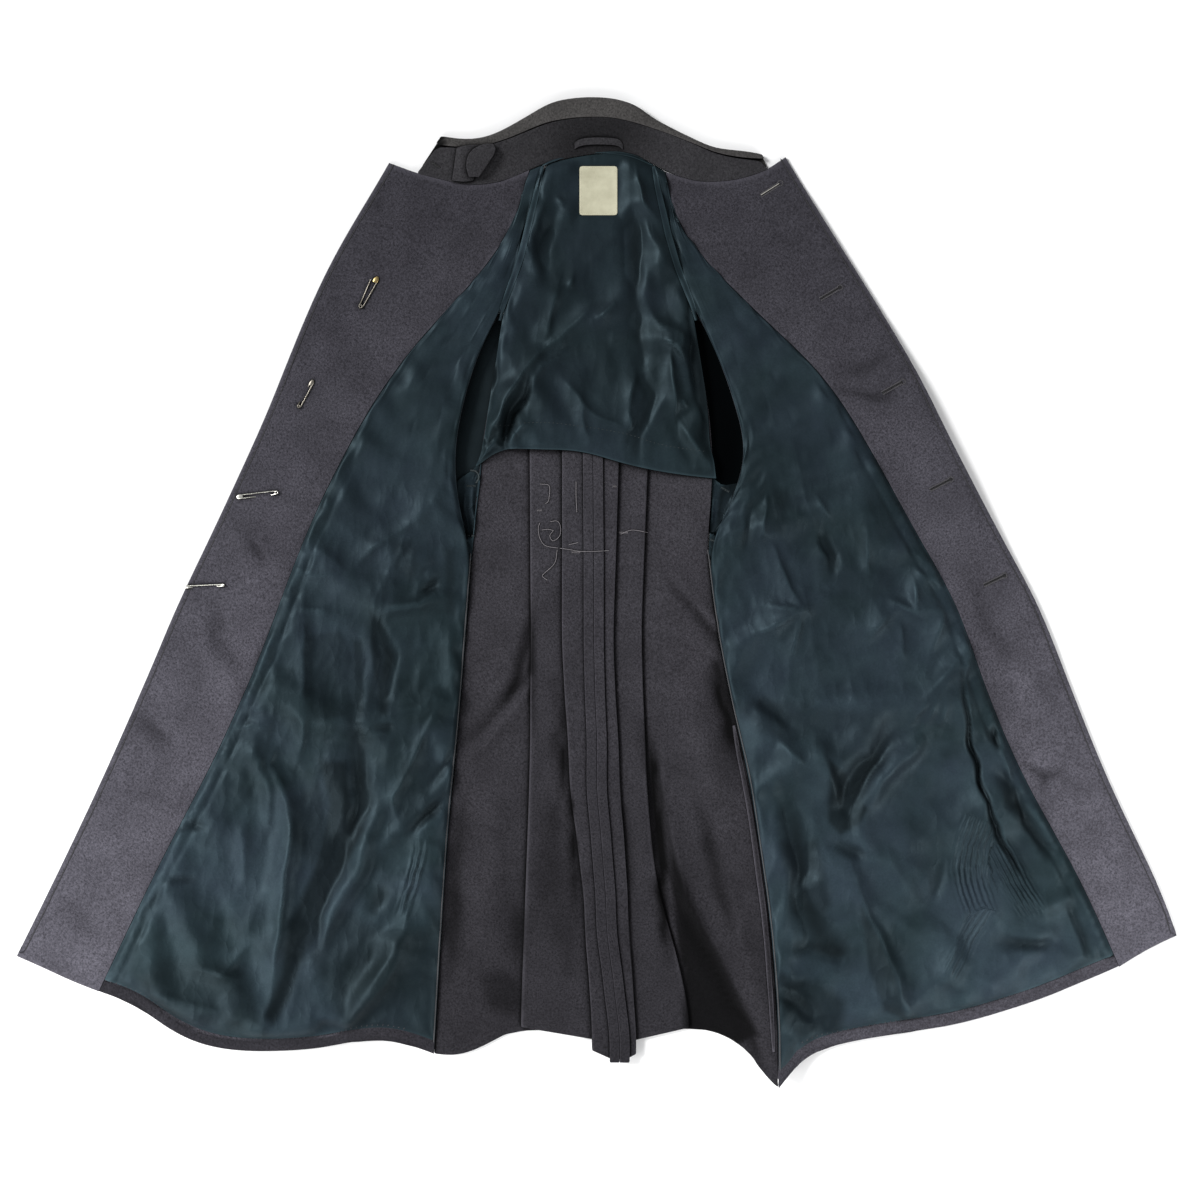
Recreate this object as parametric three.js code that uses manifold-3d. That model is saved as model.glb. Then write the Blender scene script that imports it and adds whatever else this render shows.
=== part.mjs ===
import * as THREE from 'three';
import { mergeVertices } from 'three/addons/utils/BufferGeometryUtils.js';
import Module from 'manifold-3d';

// Military greatcoat laid open on its back with the lining side up.
// Millimetres, +Z up, X across the coat, +Y towards the collar.
// "right" and "left" are the wearer's sides: the right front lies at -X.

// Cloth walls and the clearance at seams
const WOOL = 2.0;
const PLEAT_WOOL = 1.6;
const SATIN = 1.0;
const GAP = 0.3;
const FACING_LIFT = WOOL + GAP;

// Grid of the fronts: rows down the side, columns across
const SHOULDER_ROWS = 3;
const ARMHOLE_ROWS = 5;
const SEAM_ROWS = 12;
const UNDERARM_ROW = SHOULDER_ROWS + ARMHOLE_ROWS;
const LAST_ROW = UNDERARM_ROW + SEAM_ROWS;
const FACING_COLUMNS = 5;
const LINING_COLUMNS = 9;
const UNDERARM_FRACTION = 0.42;
const HEM_TURN = 16;

// Back: body above the waist seam, pleated skirt below it
const WAIST_ROW = 5;
const WAIST_Y = 222;
const CENTRE_HEM_Y = -573;
const SKIRT_UNDERARM_SHARE = 0.22;
const BACK_COLUMNS = 10;
const PLEAT_PITCH = PLEAT_WOOL + GAP;
const SEAM_ALLOWANCE = 12;
const PLEAT_MARGIN = 6;
const SKIRT_COLUMNS = 4;

// Armhole edges stand over the sleeve; the lift dies out inside the back
const EDGE_FADE = 40;

// Sleeve, lying flat beneath the front
const SLEEVE_WALL = 1.7;
const SLEEVE_HEIGHT = 7.4;
const SLEEVE_RIM_HEIGHT = 4.2;
const SLEEVE_STEPS = 8;
const SLEEVE_INSET = 3;
const SLEEVE_COVER = 8.9;
const SLEEVE_MARGIN = 14;
const SLEEVE_FADE = 62;
const MOUTH_UNDER_BACK = 8;
const MOUTH_UNDER_FRONT = 3;
const MOUTH_REACH = 0.97;

// Collar heights: stand at the neck seam, stand seam in the middle and at the ends
const COLLAR_MID_HEIGHT = 8;
const COLLAR_END_HEIGHT = 4.6;
const FALL_REACH = 0.86;

// Buttons and the pins that hold them
const BUTTON_RADIUS = 12;
const BUTTON_HEIGHT = 5.5;
const BUTTON_CORE = 62;
const BUTTON_FADE = 50;
const PIN_WIRE = 0.6;
const PIN_WIDTH = 6;
const PIN_CAP_LENGTH = 8;
const PIN_CAP_RADIUS = 1.4;
const PIN_COIL_RADIUS = 2.2;
const PIN_CAP_SHARE = 0.25;
const PIN_CLEAR_WIDTH = 5;

const COLOURS = {
  wool: 0x47434a,
  collar: 0x403b3c,
  satin: 0x22363b,
  label: 0xe2ddbd,
  steel: 0xc9c9c4,
  brass: 0x9a8450,
};

const table = (names, rows) => rows.map((row) => (
  Object.fromEntries(names.split(' ').map((name, index) => [name, row[index]]))
));

// Outlines seen from above, each listed from the collar towards the hem
const SIDES = {
  right: {
    sign: -1,
    edge: table('x y', [
      [-253, 521], [-334, 376], [-398, 217], [-451, 101], [-500, 1],
      [-544, -98], [-603, -232], [-666, -364], [-706, -445],
    ]),
    facing: table('x y', [
      [-82, 512], [-100, 447], [-143, 383], [-225, 293], [-278, 216], [-332, 113],
      [-374, 13], [-413, -92], [-469, -212], [-534, -337], [-606, -488],
    ]),
    facingTop: table('x y', [
      [-253, 521], [-219, 508], [-188, 500], [-157, 493], [-118, 496], [-82, 512],
    ]),
    shoulder: table('x y', [[-66, 519], [-78, 462], [-93, 402], [-113, 346]]),
    armFront: table('x y', [
      [-113, 346], [-145, 287], [-163, 226], [-174, 165], [-168, 100], [-152, 45],
    ]),
    armBack: table('x y', [
      [-113, 346], [-121, 287], [-132, 222], [-142, 160], [-148, 100], [-152, 45],
    ]),
    seam: table('x y', [
      [-152, 45], [-158, -33], [-168, -157], [-181, -292], [-190, -428], [-198, -564],
    ]),
    hemFacing: table('x y', [[-706, -445], [-672, -460], [-640, -475], [-606, -488]]),
    hemLining: table('x y', [
      [-606, -488], [-561, -503], [-525, -530], [-486, -552], [-436, -561], [-378, -560],
      [-323, -556], [-289, -546], [-246, -545], [-198, -564],
    ]),
    hemBack: table('x y', [
      [-198, -564], [-178, -567], [-150, -560], [-124, -544], [-97, -531], [-5, -537],
    ]),
    pleats: table('y outer inner centre', [
      [226, -82, -42, -5], [-73, -80, -42, -3], [-256, -82, -32, 1],
      [-378, -86, -16, 10], [-538, -92, -6, 27],
    ]),
    pleatHem: table('fold y', [
      ['outer', -531], ['centreLow', -551], ['inner', -559], ['centreHigh', -573],
    ]),
    sleeve: table('outerX outerY innerX innerY', [
      [-158, 338, -190, 82], [-232, 322, -222, 62], [-330, 270, -243, 34],
      [-398, 222, -256, 2], [-443, 140, -264, -42], [-445, 60, -270, -84],
      [-425, -30, -272, -122], [-408, -140, -252, -170],
    ]),
    folds: table('x1 y1 h1 x2 y2 h2 width', [
      [-290, -60, 1, -392, -520, 9, 34],
      [-206, -90, 1, -262, -540, 10, 26],
      [-470, -260, 2, -520, -540, 7, 30],
    ]),
  },
  left: {
    sign: 1,
    edge: table('x y', [
      [230, 528], [281, 444], [331, 365], [390, 264], [432, 178], [491, 67],
      [536, -15], [574, -110], [624, -234], [690, -373], [706, -420],
    ]),
    facing: table('x y', [
      [84, 510], [98, 440], [134, 399], [203, 329], [275, 260], [324, 185], [390, 65],
      [434, -12], [469, -110], [515, -218], [589, -354], [636, -458],
    ]),
    facingTop: table('x y', [
      [230, 528], [209, 513], [184, 503], [150, 497], [118, 498], [84, 510],
    ]),
    shoulder: table('x y', [[69, 519], [80, 462], [95, 402], [116, 346]]),
    armFront: table('x y', [
      [116, 346], [147, 287], [168, 226], [184, 165], [165, 110], [134, 49],
    ]),
    armBack: table('x y', [
      [116, 346], [125, 287], [136, 222], [142, 160], [139, 105], [134, 49],
    ]),
    seam: table('x y', [
      [134, 49], [146, -41], [164, -135], [185, -226], [199, -317], [212, -415],
      [219, -512], [220, -600],
    ]),
    hemFacing: table('x y', [[706, -420], [684, -430], [660, -443], [636, -458]]),
    hemLining: table('x y', [
      [636, -458], [594, -475], [554, -493], [469, -520], [422, -533], [375, -536],
      [297, -551], [258, -561], [243, -572], [220, -600],
    ]),
    hemBack: table('x y', [
      [220, -600], [206, -592], [192, -560], [170, -541], [116, -532], [4, -537],
    ]),
    pleats: table('y outer inner centre', [
      [226, 65, 29, -5], [-73, 54, 20, -3], [-256, 60, 29, 1],
      [-378, 70, 37, 10], [-538, 112, 47, 27],
    ]),
    pleatHem: table('fold y', [
      ['outer', -532], ['centreLow', -551], ['inner', -563], ['centreHigh', -573],
    ]),
    sleeve: table('outerX outerY innerX innerY', [
      [160, 338, 192, 82], [234, 322, 224, 62], [325, 270, 245, 34],
      [385, 222, 258, 2], [425, 140, 266, -42], [436, 60, 272, -84],
      [425, -30, 274, -122], [408, -140, 254, -170],
    ]),
    folds: table('x1 y1 h1 x2 y2 h2 width', [
      [126, -134, 1, 187, -378, 9, 26],
      [187, -378, 9, 216, -600, 22, 26],
      [450, -60, 4, 500, -350, 8, 26],
      [300, -120, 2, 352, -540, 9, 32],
    ]),
  },
};

// Height of the armhole edges at the rows from the neck to the underarm
const EDGE_LIFT = table('front back', [
  [0, 0], [2, 2], [4.5, 4.5], [6.5, 6.5], [8.9, 4],
  [8.9, 3.2], [8.9, 3.2], [8.9, 3.4], [5, 5],
]);

const NECK = table('x y', [[-66, 519], [-26, 528], [13, 533], [46, 531], [69, 519]]);
const BACK_LINING_HEM = table('x y', [
  [-142, 146], [-113, 172], [-66, 174], [-20, 174], [29, 159], [80, 147], [139, 136],
]);
const BACK_LINING_EXTRA_ROWS = 2;

// Height of the back lining over the pleat stack, by distance from its middle
const PLEAT_COVER = table('distance height', [[62, 11.6], [90, 6.4], [122, FACING_LIFT]]);

// Seam between collar stand and fall, then the outer outline of the folded fall
const STAND_SEAM = table('x y', [
  [-193, 541], [-157, 537], [-118, 544], [-74, 563], [-46, 571], [-9, 575],
  [21, 574], [63, 563], [109, 547], [152, 528], [198, 523],
]);
const FALL_OUTLINE = table('x y', [
  [-189, 554], [-165, 549], [-129, 553], [-107, 564], [-63, 591], [-40, 598], [-2, 601],
  [26, 598], [49, 590], [68, 576], [106, 556], [152, 536], [180, 536], [201, 532],
]);

const BUTTONS = table('x y seat', [
  [-286, 356, 0], [-346, 237, 7.8], [-400, 116, 7.8], [-462, 4, 1.1],
]);
const PINS = table('capX capY coilX coilY', [
  [-268, 378, -286, 344], [-345, 250, -363, 218], [-431, 113, -387, 118], [-496, 4, -452, 6],
]);

const LABEL = { x: 2, y: 486, width: 46, height: 60, thickness: 0.4, corner: 3 };
const HANGER = table('x y lift', [
  [-27, 541, 0.3], [-22, 544, 1.6], [-13, 546, 2.2], [2, 546.5, 2.4],
  [17, 546, 2.2], [27, 545, 1.6], [32, 540, 0.3],
]);
const HANGER_WIDTH = 8;

// Throat tab: strap columns from bottom to top, then the folded-over end
const TAB_STRAP = table('x1 y1 x2 y2 lift', [
  [-176, 499, -170, 538, 0.4], [-166, 497, -160, 540, 3.0],
  [-158, 497, -149, 541, 2.4], [-150, 499, -138, 541, 0.4],
]);
const TAB_END = table('x1 x2 y lift', [
  [-137, -126, 542, 0.5], [-149, -122, 536, 3.4], [-155, -124, 529, 4.6],
  [-158, -130, 520, 5.0], [-158, -136, 511, 4.4], [-155, -143, 502, 3.0],
]);

const lerp = THREE.MathUtils.lerp;
const smooth = (value) => THREE.MathUtils.smoothstep(value, 0, 1);

function curveThrough(rows) {
  const points = rows.map(({ x, y }) => new THREE.Vector3(x, y, 0));
  return new THREE.CatmullRomCurve3(points, false, 'centripetal');
}

function pointsAlong(rows, fractions) {
  const curve = curveThrough(rows);
  return fractions.map((fraction) => curve.getPointAt(THREE.MathUtils.clamp(fraction, 0, 1)));
}

const evenFractions = (count) => Array.from({ length: count + 1 }, (_, index) => index / count);

// Value of a named column at a place in a table, with straight lines between rows
function readTable(rows, key, column, place) {
  const falling = rows[0][key] > rows[rows.length - 1][key];
  const ordered = falling ? [...rows].reverse() : rows;
  const last = ordered.length - 1;
  if (place <= ordered[0][key]) return ordered[0][column];
  if (place >= ordered[last][key]) return ordered[last][column];
  const next = ordered.findIndex((row) => row[key] > place);
  const before = ordered[next - 1];
  const after = ordered[next];
  const share = (place - before[key]) / (after[key] - before[key]);
  return lerp(before[column], after[column], share);
}

function distanceToSegment(point, start, end) {
  const along = new THREE.Vector2().subVectors(end, start);
  const offset = new THREE.Vector2().subVectors(point, start);
  const share = THREE.MathUtils.clamp(offset.dot(along) / along.lengthSq(), 0, 1);
  return { share, distance: offset.addScaledVector(along, -share).length() };
}

function distanceToOutline(point, outline) {
  let nearest = Infinity;
  let inside = false;
  outline.forEach((start, index) => {
    const end = outline[(index + 1) % outline.length];
    nearest = Math.min(nearest, distanceToSegment(point, start, end).distance);
    const crosses = (start.y > point.y) !== (end.y > point.y);
    const crossing = start.x + (point.y - start.y) * (end.x - start.x) / (end.y - start.y);
    if (crosses && point.x < crossing) inside = !inside;
  });
  return inside ? 0 : nearest;
}

function foldHeight(side, x, y) {
  const point = new THREE.Vector2(x, y);
  return side.folds.reduce((sum, fold) => {
    const start = new THREE.Vector2(fold.x1, fold.y1);
    const end = new THREE.Vector2(fold.x2, fold.y2);
    const { share, distance } = distanceToSegment(point, start, end);
    return sum + lerp(fold.h1, fold.h2, share) * Math.exp(-((distance / fold.width) ** 2));
  }, 0);
}

function sleeveOutline(side) {
  const outer = side.sleeve.map((row) => new THREE.Vector2(row.outerX, row.outerY));
  const inner = side.sleeve.map((row) => new THREE.Vector2(row.innerX, row.innerY));
  const shoulder = side.armFront[0];
  const underarm = side.armFront[side.armFront.length - 1];
  return [
    new THREE.Vector2(shoulder.x, shoulder.y), ...outer,
    ...inner.reverse(), new THREE.Vector2(underarm.x, underarm.y),
  ];
}

// What the front lies on: the sleeve beneath it and the buttons on its face
function restHeight(side, x, y) {
  const point = new THREE.Vector2(x, y);
  const away = distanceToOutline(point, sleeveOutline(side)) - SLEEVE_MARGIN;
  let height = SLEEVE_COVER * smooth(1 - away / SLEEVE_FADE);
  if (side.sign < 0) {
    BUTTONS.forEach((button) => {
      const distance = Math.hypot(x - button.x, y - button.y) - BUTTON_CORE;
      const top = button.seat + BUTTON_HEIGHT + GAP;
      height = Math.max(height, top * smooth(1 - distance / BUTTON_FADE));
    });
  }
  return height;
}

// Closed wall between two grids of points; wrap joins the last column to the first
function wallGeometry(lower, upper, wrap = false) {
  const rows = lower.length;
  const columns = lower[0].length;
  const positions = [...lower.flat(), ...upper.flat()];
  const triangles = [];
  const low = (i, j) => i * columns + (j % columns);
  const high = (i, j) => rows * columns + low(i, j);
  const quad = (a, b, c, d) => triangles.push([a, b, c], [a, c, d]);
  const spans = wrap ? columns : columns - 1;
  for (let i = 0; i < rows - 1; i += 1) {
    for (let j = 0; j < spans; j += 1) {
      quad(high(i, j), high(i + 1, j), high(i + 1, j + 1), high(i, j + 1));
      triangles.push([low(i, j), low(i + 1, j + 1), low(i + 1, j)]);
      triangles.push([low(i, j), low(i, j + 1), low(i + 1, j + 1)]);
    }
    if (!wrap) {
      quad(high(i + 1, 0), high(i, 0), low(i, 0), low(i + 1, 0));
      quad(high(i, spans), high(i + 1, spans), low(i + 1, spans), low(i, spans));
    }
  }
  for (let j = 0; j < spans; j += 1) {
    const end = rows - 1;
    quad(high(0, j), high(0, j + 1), low(0, j + 1), low(0, j));
    quad(high(end, j + 1), high(end, j), low(end, j), low(end, j + 1));
  }
  return closedGeometry(positions, triangles);
}

// Triangles turned so that every face points out of the solid
function closedGeometry(positions, triangles) {
  const volume = triangles.reduce((sum, [a, b, c]) => {
    const cross = new THREE.Vector3().crossVectors(positions[b], positions[c]);
    return sum + positions[a].dot(cross);
  }, 0);
  const turned = volume < 0 ? triangles.map(([a, b, c]) => [a, c, b]) : triangles;
  const geometry = new THREE.BufferGeometry();
  const values = positions.flatMap((point) => [point.x, point.y, point.z]);
  geometry.setAttribute('position', new THREE.Float32BufferAttribute(values, 3));
  geometry.setIndex(turned.flat());
  geometry.computeVertexNormals();
  return geometry;
}

const raised = (grid, height) => grid.map((row) => (
  row.map((point) => new THREE.Vector3(point.x, point.y, point.z + height))
));

const sheetGeometry = (grid, thickness, lift = 0) => (
  wallGeometry(raised(grid, lift), raised(grid, lift + thickness))
);

const movedTowards = (point, goal, distance) => {
  const step = new THREE.Vector2(goal.x - point.x, goal.y - point.y).setLength(distance);
  return new THREE.Vector3(point.x + step.x, point.y + step.y, point.z);
};

// Share of the way down the side for each row of the grid
function rowFractions(length) {
  const turn = HEM_TURN / length;
  return Array.from({ length: LAST_ROW + 1 }, (_, row) => {
    if (row === LAST_ROW) return 1;
    if (row <= UNDERARM_ROW) return UNDERARM_FRACTION * row / UNDERARM_ROW;
    const share = (row - UNDERARM_ROW) / (SEAM_ROWS - 1);
    return lerp(UNDERARM_FRACTION, 1 - turn, share);
  });
}

function seamFractions(length) {
  return Array.from({ length: SEAM_ROWS + 1 }, (_, row) => (
    row === SEAM_ROWS ? 1 : (1 - HEM_TURN / length) * row / (SEAM_ROWS - 1)
  ));
}

// Edge at the armhole and side seam, one point for each row
function innerEdge(side, arm, lift) {
  const seamLength = curveThrough(side.seam).getLength();
  const points = [
    ...pointsAlong(side.shoulder, evenFractions(SHOULDER_ROWS)),
    ...pointsAlong(arm, evenFractions(ARMHOLE_ROWS)).slice(1),
    ...pointsAlong(side.seam, seamFractions(seamLength)).slice(1),
  ];
  points.forEach((point, row) => {
    point.z = row <= UNDERARM_ROW ? EDGE_LIFT[row][lift] : foldHeight(side, point.x, point.y);
  });
  return points;
}

// Patch blended between its four edges
function blendedPatch(left, right, top, bottom, shares) {
  const columns = top.length - 1;
  const corners = [top[0], top[columns], bottom[0], bottom[columns]];
  return left.map((start, row) => {
    const t = shares[row];
    return top.map((head, column) => {
      const u = column / columns;
      const point = new THREE.Vector3();
      point.addScaledVector(start, 1 - u).addScaledVector(right[row], u);
      point.addScaledVector(head, 1 - t).addScaledVector(bottom[column], t);
      point.addScaledVector(corners[0], -(1 - u) * (1 - t));
      point.addScaledVector(corners[1], -u * (1 - t));
      point.addScaledVector(corners[2], -(1 - u) * t);
      point.addScaledVector(corners[3], -u * t);
      return point;
    });
  });
}

// Base grid of a front: its facing columns, then its lining columns
function frontGrid(side) {
  const facingLength = curveThrough(side.facing).getLength();
  const shares = rowFractions(facingLength);
  const edge = pointsAlong(side.edge, rowFractions(curveThrough(side.edge).getLength()));
  const facing = pointsAlong(side.facing, shares);
  const seam = innerEdge(side, side.armFront, 'front');
  const facingTop = side.facingTop.map(({ x, y }) => new THREE.Vector3(x, y, 0));
  const facingHem = pointsAlong(side.hemFacing, evenFractions(FACING_COLUMNS));
  const liningTop = pointsAlong([side.facing[0], side.shoulder[0]], evenFractions(LINING_COLUMNS));
  const liningHem = pointsAlong(side.hemLining, evenFractions(LINING_COLUMNS));
  const outerPart = blendedPatch(edge, facing, facingTop, facingHem, shares);
  const innerPart = blendedPatch(facing, seam, liningTop, liningHem, shares);
  return outerPart.map((row, index) => {
    const joined = [...row, ...innerPart[index].slice(1)];
    joined.forEach((point, column) => {
      const atSeam = column === joined.length - 1;
      const base = restHeight(side, point.x, point.y) + foldHeight(side, point.x, point.y);
      point.z = atSeam ? seam[index].z : base;
    });
    const last = joined.length - 1;
    joined[last] = movedTowards(joined[last], joined[last - 1], GAP / 2);
    return joined;
  });
}

// Facing and lining lie on the shell and meet at the facing seam
function facingGrid(grid) {
  return grid.map((row) => {
    const part = row.slice(0, FACING_COLUMNS + 1);
    part[FACING_COLUMNS] = movedTowards(part[FACING_COLUMNS], part[FACING_COLUMNS - 1], GAP / 2);
    return part;
  });
}

function liningGrid(grid) {
  return grid.slice(0, LAST_ROW).map((row) => {
    const part = row.slice(FACING_COLUMNS);
    part[0] = movedTowards(part[0], part[1], GAP / 2);
    return part;
  });
}

// Back body: rows from the neck to the waist seam
function backGrid() {
  const right = innerEdge(SIDES.right, SIDES.right.armBack, 'back');
  const left = innerEdge(SIDES.left, SIDES.left.armBack, 'back');
  const neck = pointsAlong(NECK, evenFractions(BACK_COLUMNS));
  const rows = [];
  for (let row = 0; row <= WAIST_ROW; row += 1) {
    const fade = 1 - row / WAIST_ROW;
    rows.push(neck.map((top, column) => {
      const u = column / BACK_COLUMNS;
      const point = new THREE.Vector3().lerpVectors(right[row], left[row], u);
      const bow = top.y - lerp(neck[0].y, neck[BACK_COLUMNS].y, u);
      point.y += bow * fade;
      const fromRight = point.x - right[row].x;
      const fromLeft = left[row].x - point.x;
      const liftRight = right[row].z * Math.max(0, 1 - fromRight / EDGE_FADE);
      const liftLeft = left[row].z * Math.max(0, 1 - fromLeft / EDGE_FADE);
      point.z = Math.max(liftRight, liftLeft);
      return point;
    }));
  }
  return rows.map((row) => {
    const part = [...row];
    part[0] = movedTowards(row[0], row[1], GAP / 2);
    part[BACK_COLUMNS] = movedTowards(row[BACK_COLUMNS], row[BACK_COLUMNS - 1], GAP / 2);
    return part;
  });
}

function backLiningGrid(body) {
  const hem = pointsAlong(BACK_LINING_HEM, evenFractions(BACK_COLUMNS));
  const waist = body[WAIST_ROW];
  const rows = body.map((row) => row.map((point) => point.clone()));
  rows.forEach((row) => row.forEach((point) => { point.z += FACING_LIFT; }));
  for (let step = 1; step <= BACK_LINING_EXTRA_ROWS; step += 1) {
    rows.push(waist.map((point, column) => {
      const place = new THREE.Vector3();
      place.lerpVectors(point, hem[column], step / BACK_LINING_EXTRA_ROWS);
      place.z = point.z + FACING_LIFT;
      return place;
    }));
  }
  const stackMiddle = (SIDES.right.pleats[0].outer + SIDES.left.pleats[0].outer) / 2;
  rows.slice(WAIST_ROW).forEach((row) => row.forEach((point) => {
    const distance = Math.abs(point.x - stackMiddle);
    point.z = Math.max(point.z, readTable(PLEAT_COVER, 'distance', 'height', distance));
  }));
  return rows;
}

// Share of the way from waist to hem at each row of the skirt, alike on both halves
function skirtShare(row) {
  const turn = HEM_TURN / (WAIST_Y - CENTRE_HEM_Y);
  if (row === LAST_ROW) return 1;
  if (row <= UNDERARM_ROW) {
    return SKIRT_UNDERARM_SHARE * (row - WAIST_ROW) / (UNDERARM_ROW - WAIST_ROW);
  }
  return lerp(SKIRT_UNDERARM_SHARE, 1 - turn, (row - UNDERARM_ROW) / (SEAM_ROWS - 1));
}

// Half of the skirt as one folded wall: the plain panel, then the pleat layers
// back and forth between the centre seam and the pleat folds.
function skirtGrids(side) {
  const inward = -side.sign;
  const seam = innerEdge(side, side.armBack, 'back');
  const panelHem = pointsAlong(side.hemBack, [0, 0.12, 0.24, 0.36, 0.5, 1]);
  const hemOf = Object.fromEntries(side.pleatHem.map((row) => [row.fold, row.y]));
  const lower = [];
  const upper = [];
  for (let row = WAIST_ROW; row <= LAST_ROW; row += 1) {
    const share = skirtShare(row);
    const level = (hem) => lerp(WAIST_Y - GAP, hem, share);
    const middle = level(CENTRE_HEM_Y);
    const outer = readTable(side.pleats, 'y', 'outer', middle);
    const inner = readTable(side.pleats, 'y', 'inner', middle);
    const centre = readTable(side.pleats, 'y', 'centre', middle) - inward * GAP / 2;
    const low = [];
    const high = [];
    const add = (x, y, floorX, floorZ, topX, topZ) => {
      low.push(new THREE.Vector3(x + floorX, y, floorZ));
      high.push(new THREE.Vector3(x + topX, y, topZ));
    };
    const panelEnd = outer - inward * PLEAT_MARGIN;
    for (let column = 0; column <= SKIRT_COLUMNS; column += 1) {
      const u = column / SKIRT_COLUMNS;
      const straight = lerp(seam[row].x, panelEnd, u);
      const hemX = panelHem[column].x;
      const x = column === 0 ? straight + inward * GAP / 2 : lerp(straight, hemX, share ** 3 * (1 - u));
      const y = column === 0 ? seam[row].y - (row === WAIST_ROW ? GAP : 0) : level(panelHem[column].y);
      const edge = row <= UNDERARM_ROW ? EDGE_LIFT[row].back : 0;
      const lift = edge * Math.max(0, 1 - Math.abs(x - seam[row].x) / EDGE_FADE);
      const fold = column === SKIRT_COLUMNS ? 0 : foldHeight(side, x, y);
      const base = column === SKIRT_COLUMNS ? 0 : Math.max(lift, row > UNDERARM_ROW ? fold : 0);
      add(x, y, 0, base, 0, base + PLEAT_WOOL);
    }
    const tuck = -inward * PLEAT_WOOL;
    const layerZ = (layer) => layer * PLEAT_PITCH;
    const layerTop = (layer) => layerZ(layer) + PLEAT_WOOL;
    add(centre, level(panelHem[5].y), 0, 0, tuck, layerTop(0));
    add(centre, level(panelHem[5].y), 0, layerTop(1), tuck, layerZ(1));
    const outerY = level(hemOf.outer);
    add(outer, outerY, -tuck, layerTop(1), 0, layerZ(1));
    add(outer, outerY, -tuck, layerZ(2), 0, layerTop(2));
    const lowY = level(hemOf.centreLow);
    add(centre, lowY, 0, layerZ(2), tuck, layerTop(2));
    add(centre, lowY, 0, layerTop(3), tuck, layerZ(3));
    const innerY = level(hemOf.inner);
    add(inner, innerY, -tuck, layerTop(3), 0, layerZ(3));
    add(inner, innerY, -tuck, layerZ(4), 0, layerTop(4));
    const highY = level(hemOf.centreHigh);
    add(centre, highY, 0, layerZ(4), tuck, layerTop(4));
    add(centre, highY, 0, layerTop(5), tuck, layerZ(5));
    const allowance = Math.min(SEAM_ALLOWANCE, Math.abs(centre - inner) - PLEAT_MARGIN);
    add(centre - inward * allowance, highY, 0, layerTop(5), 0, layerZ(5));
    lower.push(low);
    upper.push(high);
  }
  return { lower, upper };
}

// One ring of the sleeve: up one face, round the ends, back along the other
function sleeveRing(lowerLine, upperLine, inset, wall) {
  const ring = [];
  const heightAt = (u) => lerp(SLEEVE_RIM_HEIGHT, SLEEVE_HEIGHT, 1 - (2 * u - 1) ** 4);
  const endPoint = (u) => {
    const point = new THREE.Vector3().lerpVectors(lowerLine(u), upperLine(u), 0.5);
    const middle = new THREE.Vector3().lerpVectors(lowerLine(0.5), upperLine(0.5), 0.5);
    const moved = inset > 0 ? movedTowards(point, middle, inset) : point;
    moved.z = SLEEVE_RIM_HEIGHT / 2;
    return moved;
  };
  ring.push(endPoint(0));
  for (let step = 1; step < SLEEVE_STEPS; step += 1) {
    const u = step / SLEEVE_STEPS;
    const point = lowerLine(u).clone();
    point.z = wall;
    ring.push(point);
  }
  ring.push(endPoint(1));
  for (let step = SLEEVE_STEPS - 1; step > 0; step -= 1) {
    const u = step / SLEEVE_STEPS;
    const point = upperLine(u).clone();
    point.z = heightAt(u) - wall;
    ring.push(point);
  }
  return ring;
}

function sleeveGeometry(side) {
  const shifted = (rows, distance) => {
    const curve = curveThrough(rows);
    return (u) => {
      const point = curve.getPointAt(u * MOUTH_REACH);
      point.x -= side.sign * distance;
      return point;
    };
  };
  const mouth = [
    shifted(side.armBack, MOUTH_UNDER_BACK), shifted(side.armFront, -MOUTH_UNDER_FRONT),
  ];
  const stations = side.sleeve.map((row) => {
    const outer = new THREE.Vector3(row.outerX, row.outerY, 0);
    const inner = new THREE.Vector3(row.innerX, row.innerY, 0);
    const line = (u) => new THREE.Vector3().lerpVectors(outer, inner, u);
    return [line, line];
  });
  const lines = [mouth, ...stations];
  const outside = lines.map(([low, high]) => sleeveRing(low, high, 0, 0));
  const inside = lines.map(([low, high]) => sleeveRing(low, high, SLEEVE_INSET, SLEEVE_WALL));
  return wallGeometry(outside, inside, true);
}

// Neck seam from one collar end to the other, along fronts and back
function neckLine(rightGrid, leftGrid, body) {
  const right = rightGrid[0].slice(1, FACING_COLUMNS + 1);
  const left = leftGrid[0].slice(1, FACING_COLUMNS + 1).reverse();
  return [...right, ...body[0], ...left];
}

function arcFractions(points) {
  const lengths = points.map((point, index) => (
    index === 0 ? 0 : Math.hypot(point.x - points[index - 1].x, point.y - points[index - 1].y)
  ));
  const total = lengths.reduce((sum, length) => sum + length, 0);
  let travelled = 0;
  return lengths.map((length) => {
    travelled += length;
    return travelled / total;
  });
}

const collarHeight = (fraction) => (
  lerp(COLLAR_END_HEIGHT, COLLAR_MID_HEIGHT, Math.sin(Math.PI * fraction) ** 0.6)
);

function standGrid(neck) {
  const fractions = arcFractions(neck);
  const seam = pointsAlong(STAND_SEAM, fractions);
  const shares = [0, 0.35, 0.7, 1];
  return neck.map((base, index) => {
    const foot = movedTowards(base, seam[index], GAP);
    const head = movedTowards(seam[index], base, GAP / 2);
    return shares.map((share) => {
      const point = new THREE.Vector3().lerpVectors(foot, head, share);
      point.z = lerp(FACING_LIFT, collarHeight(fractions[index]), share);
      return point;
    });
  });
}

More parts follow.
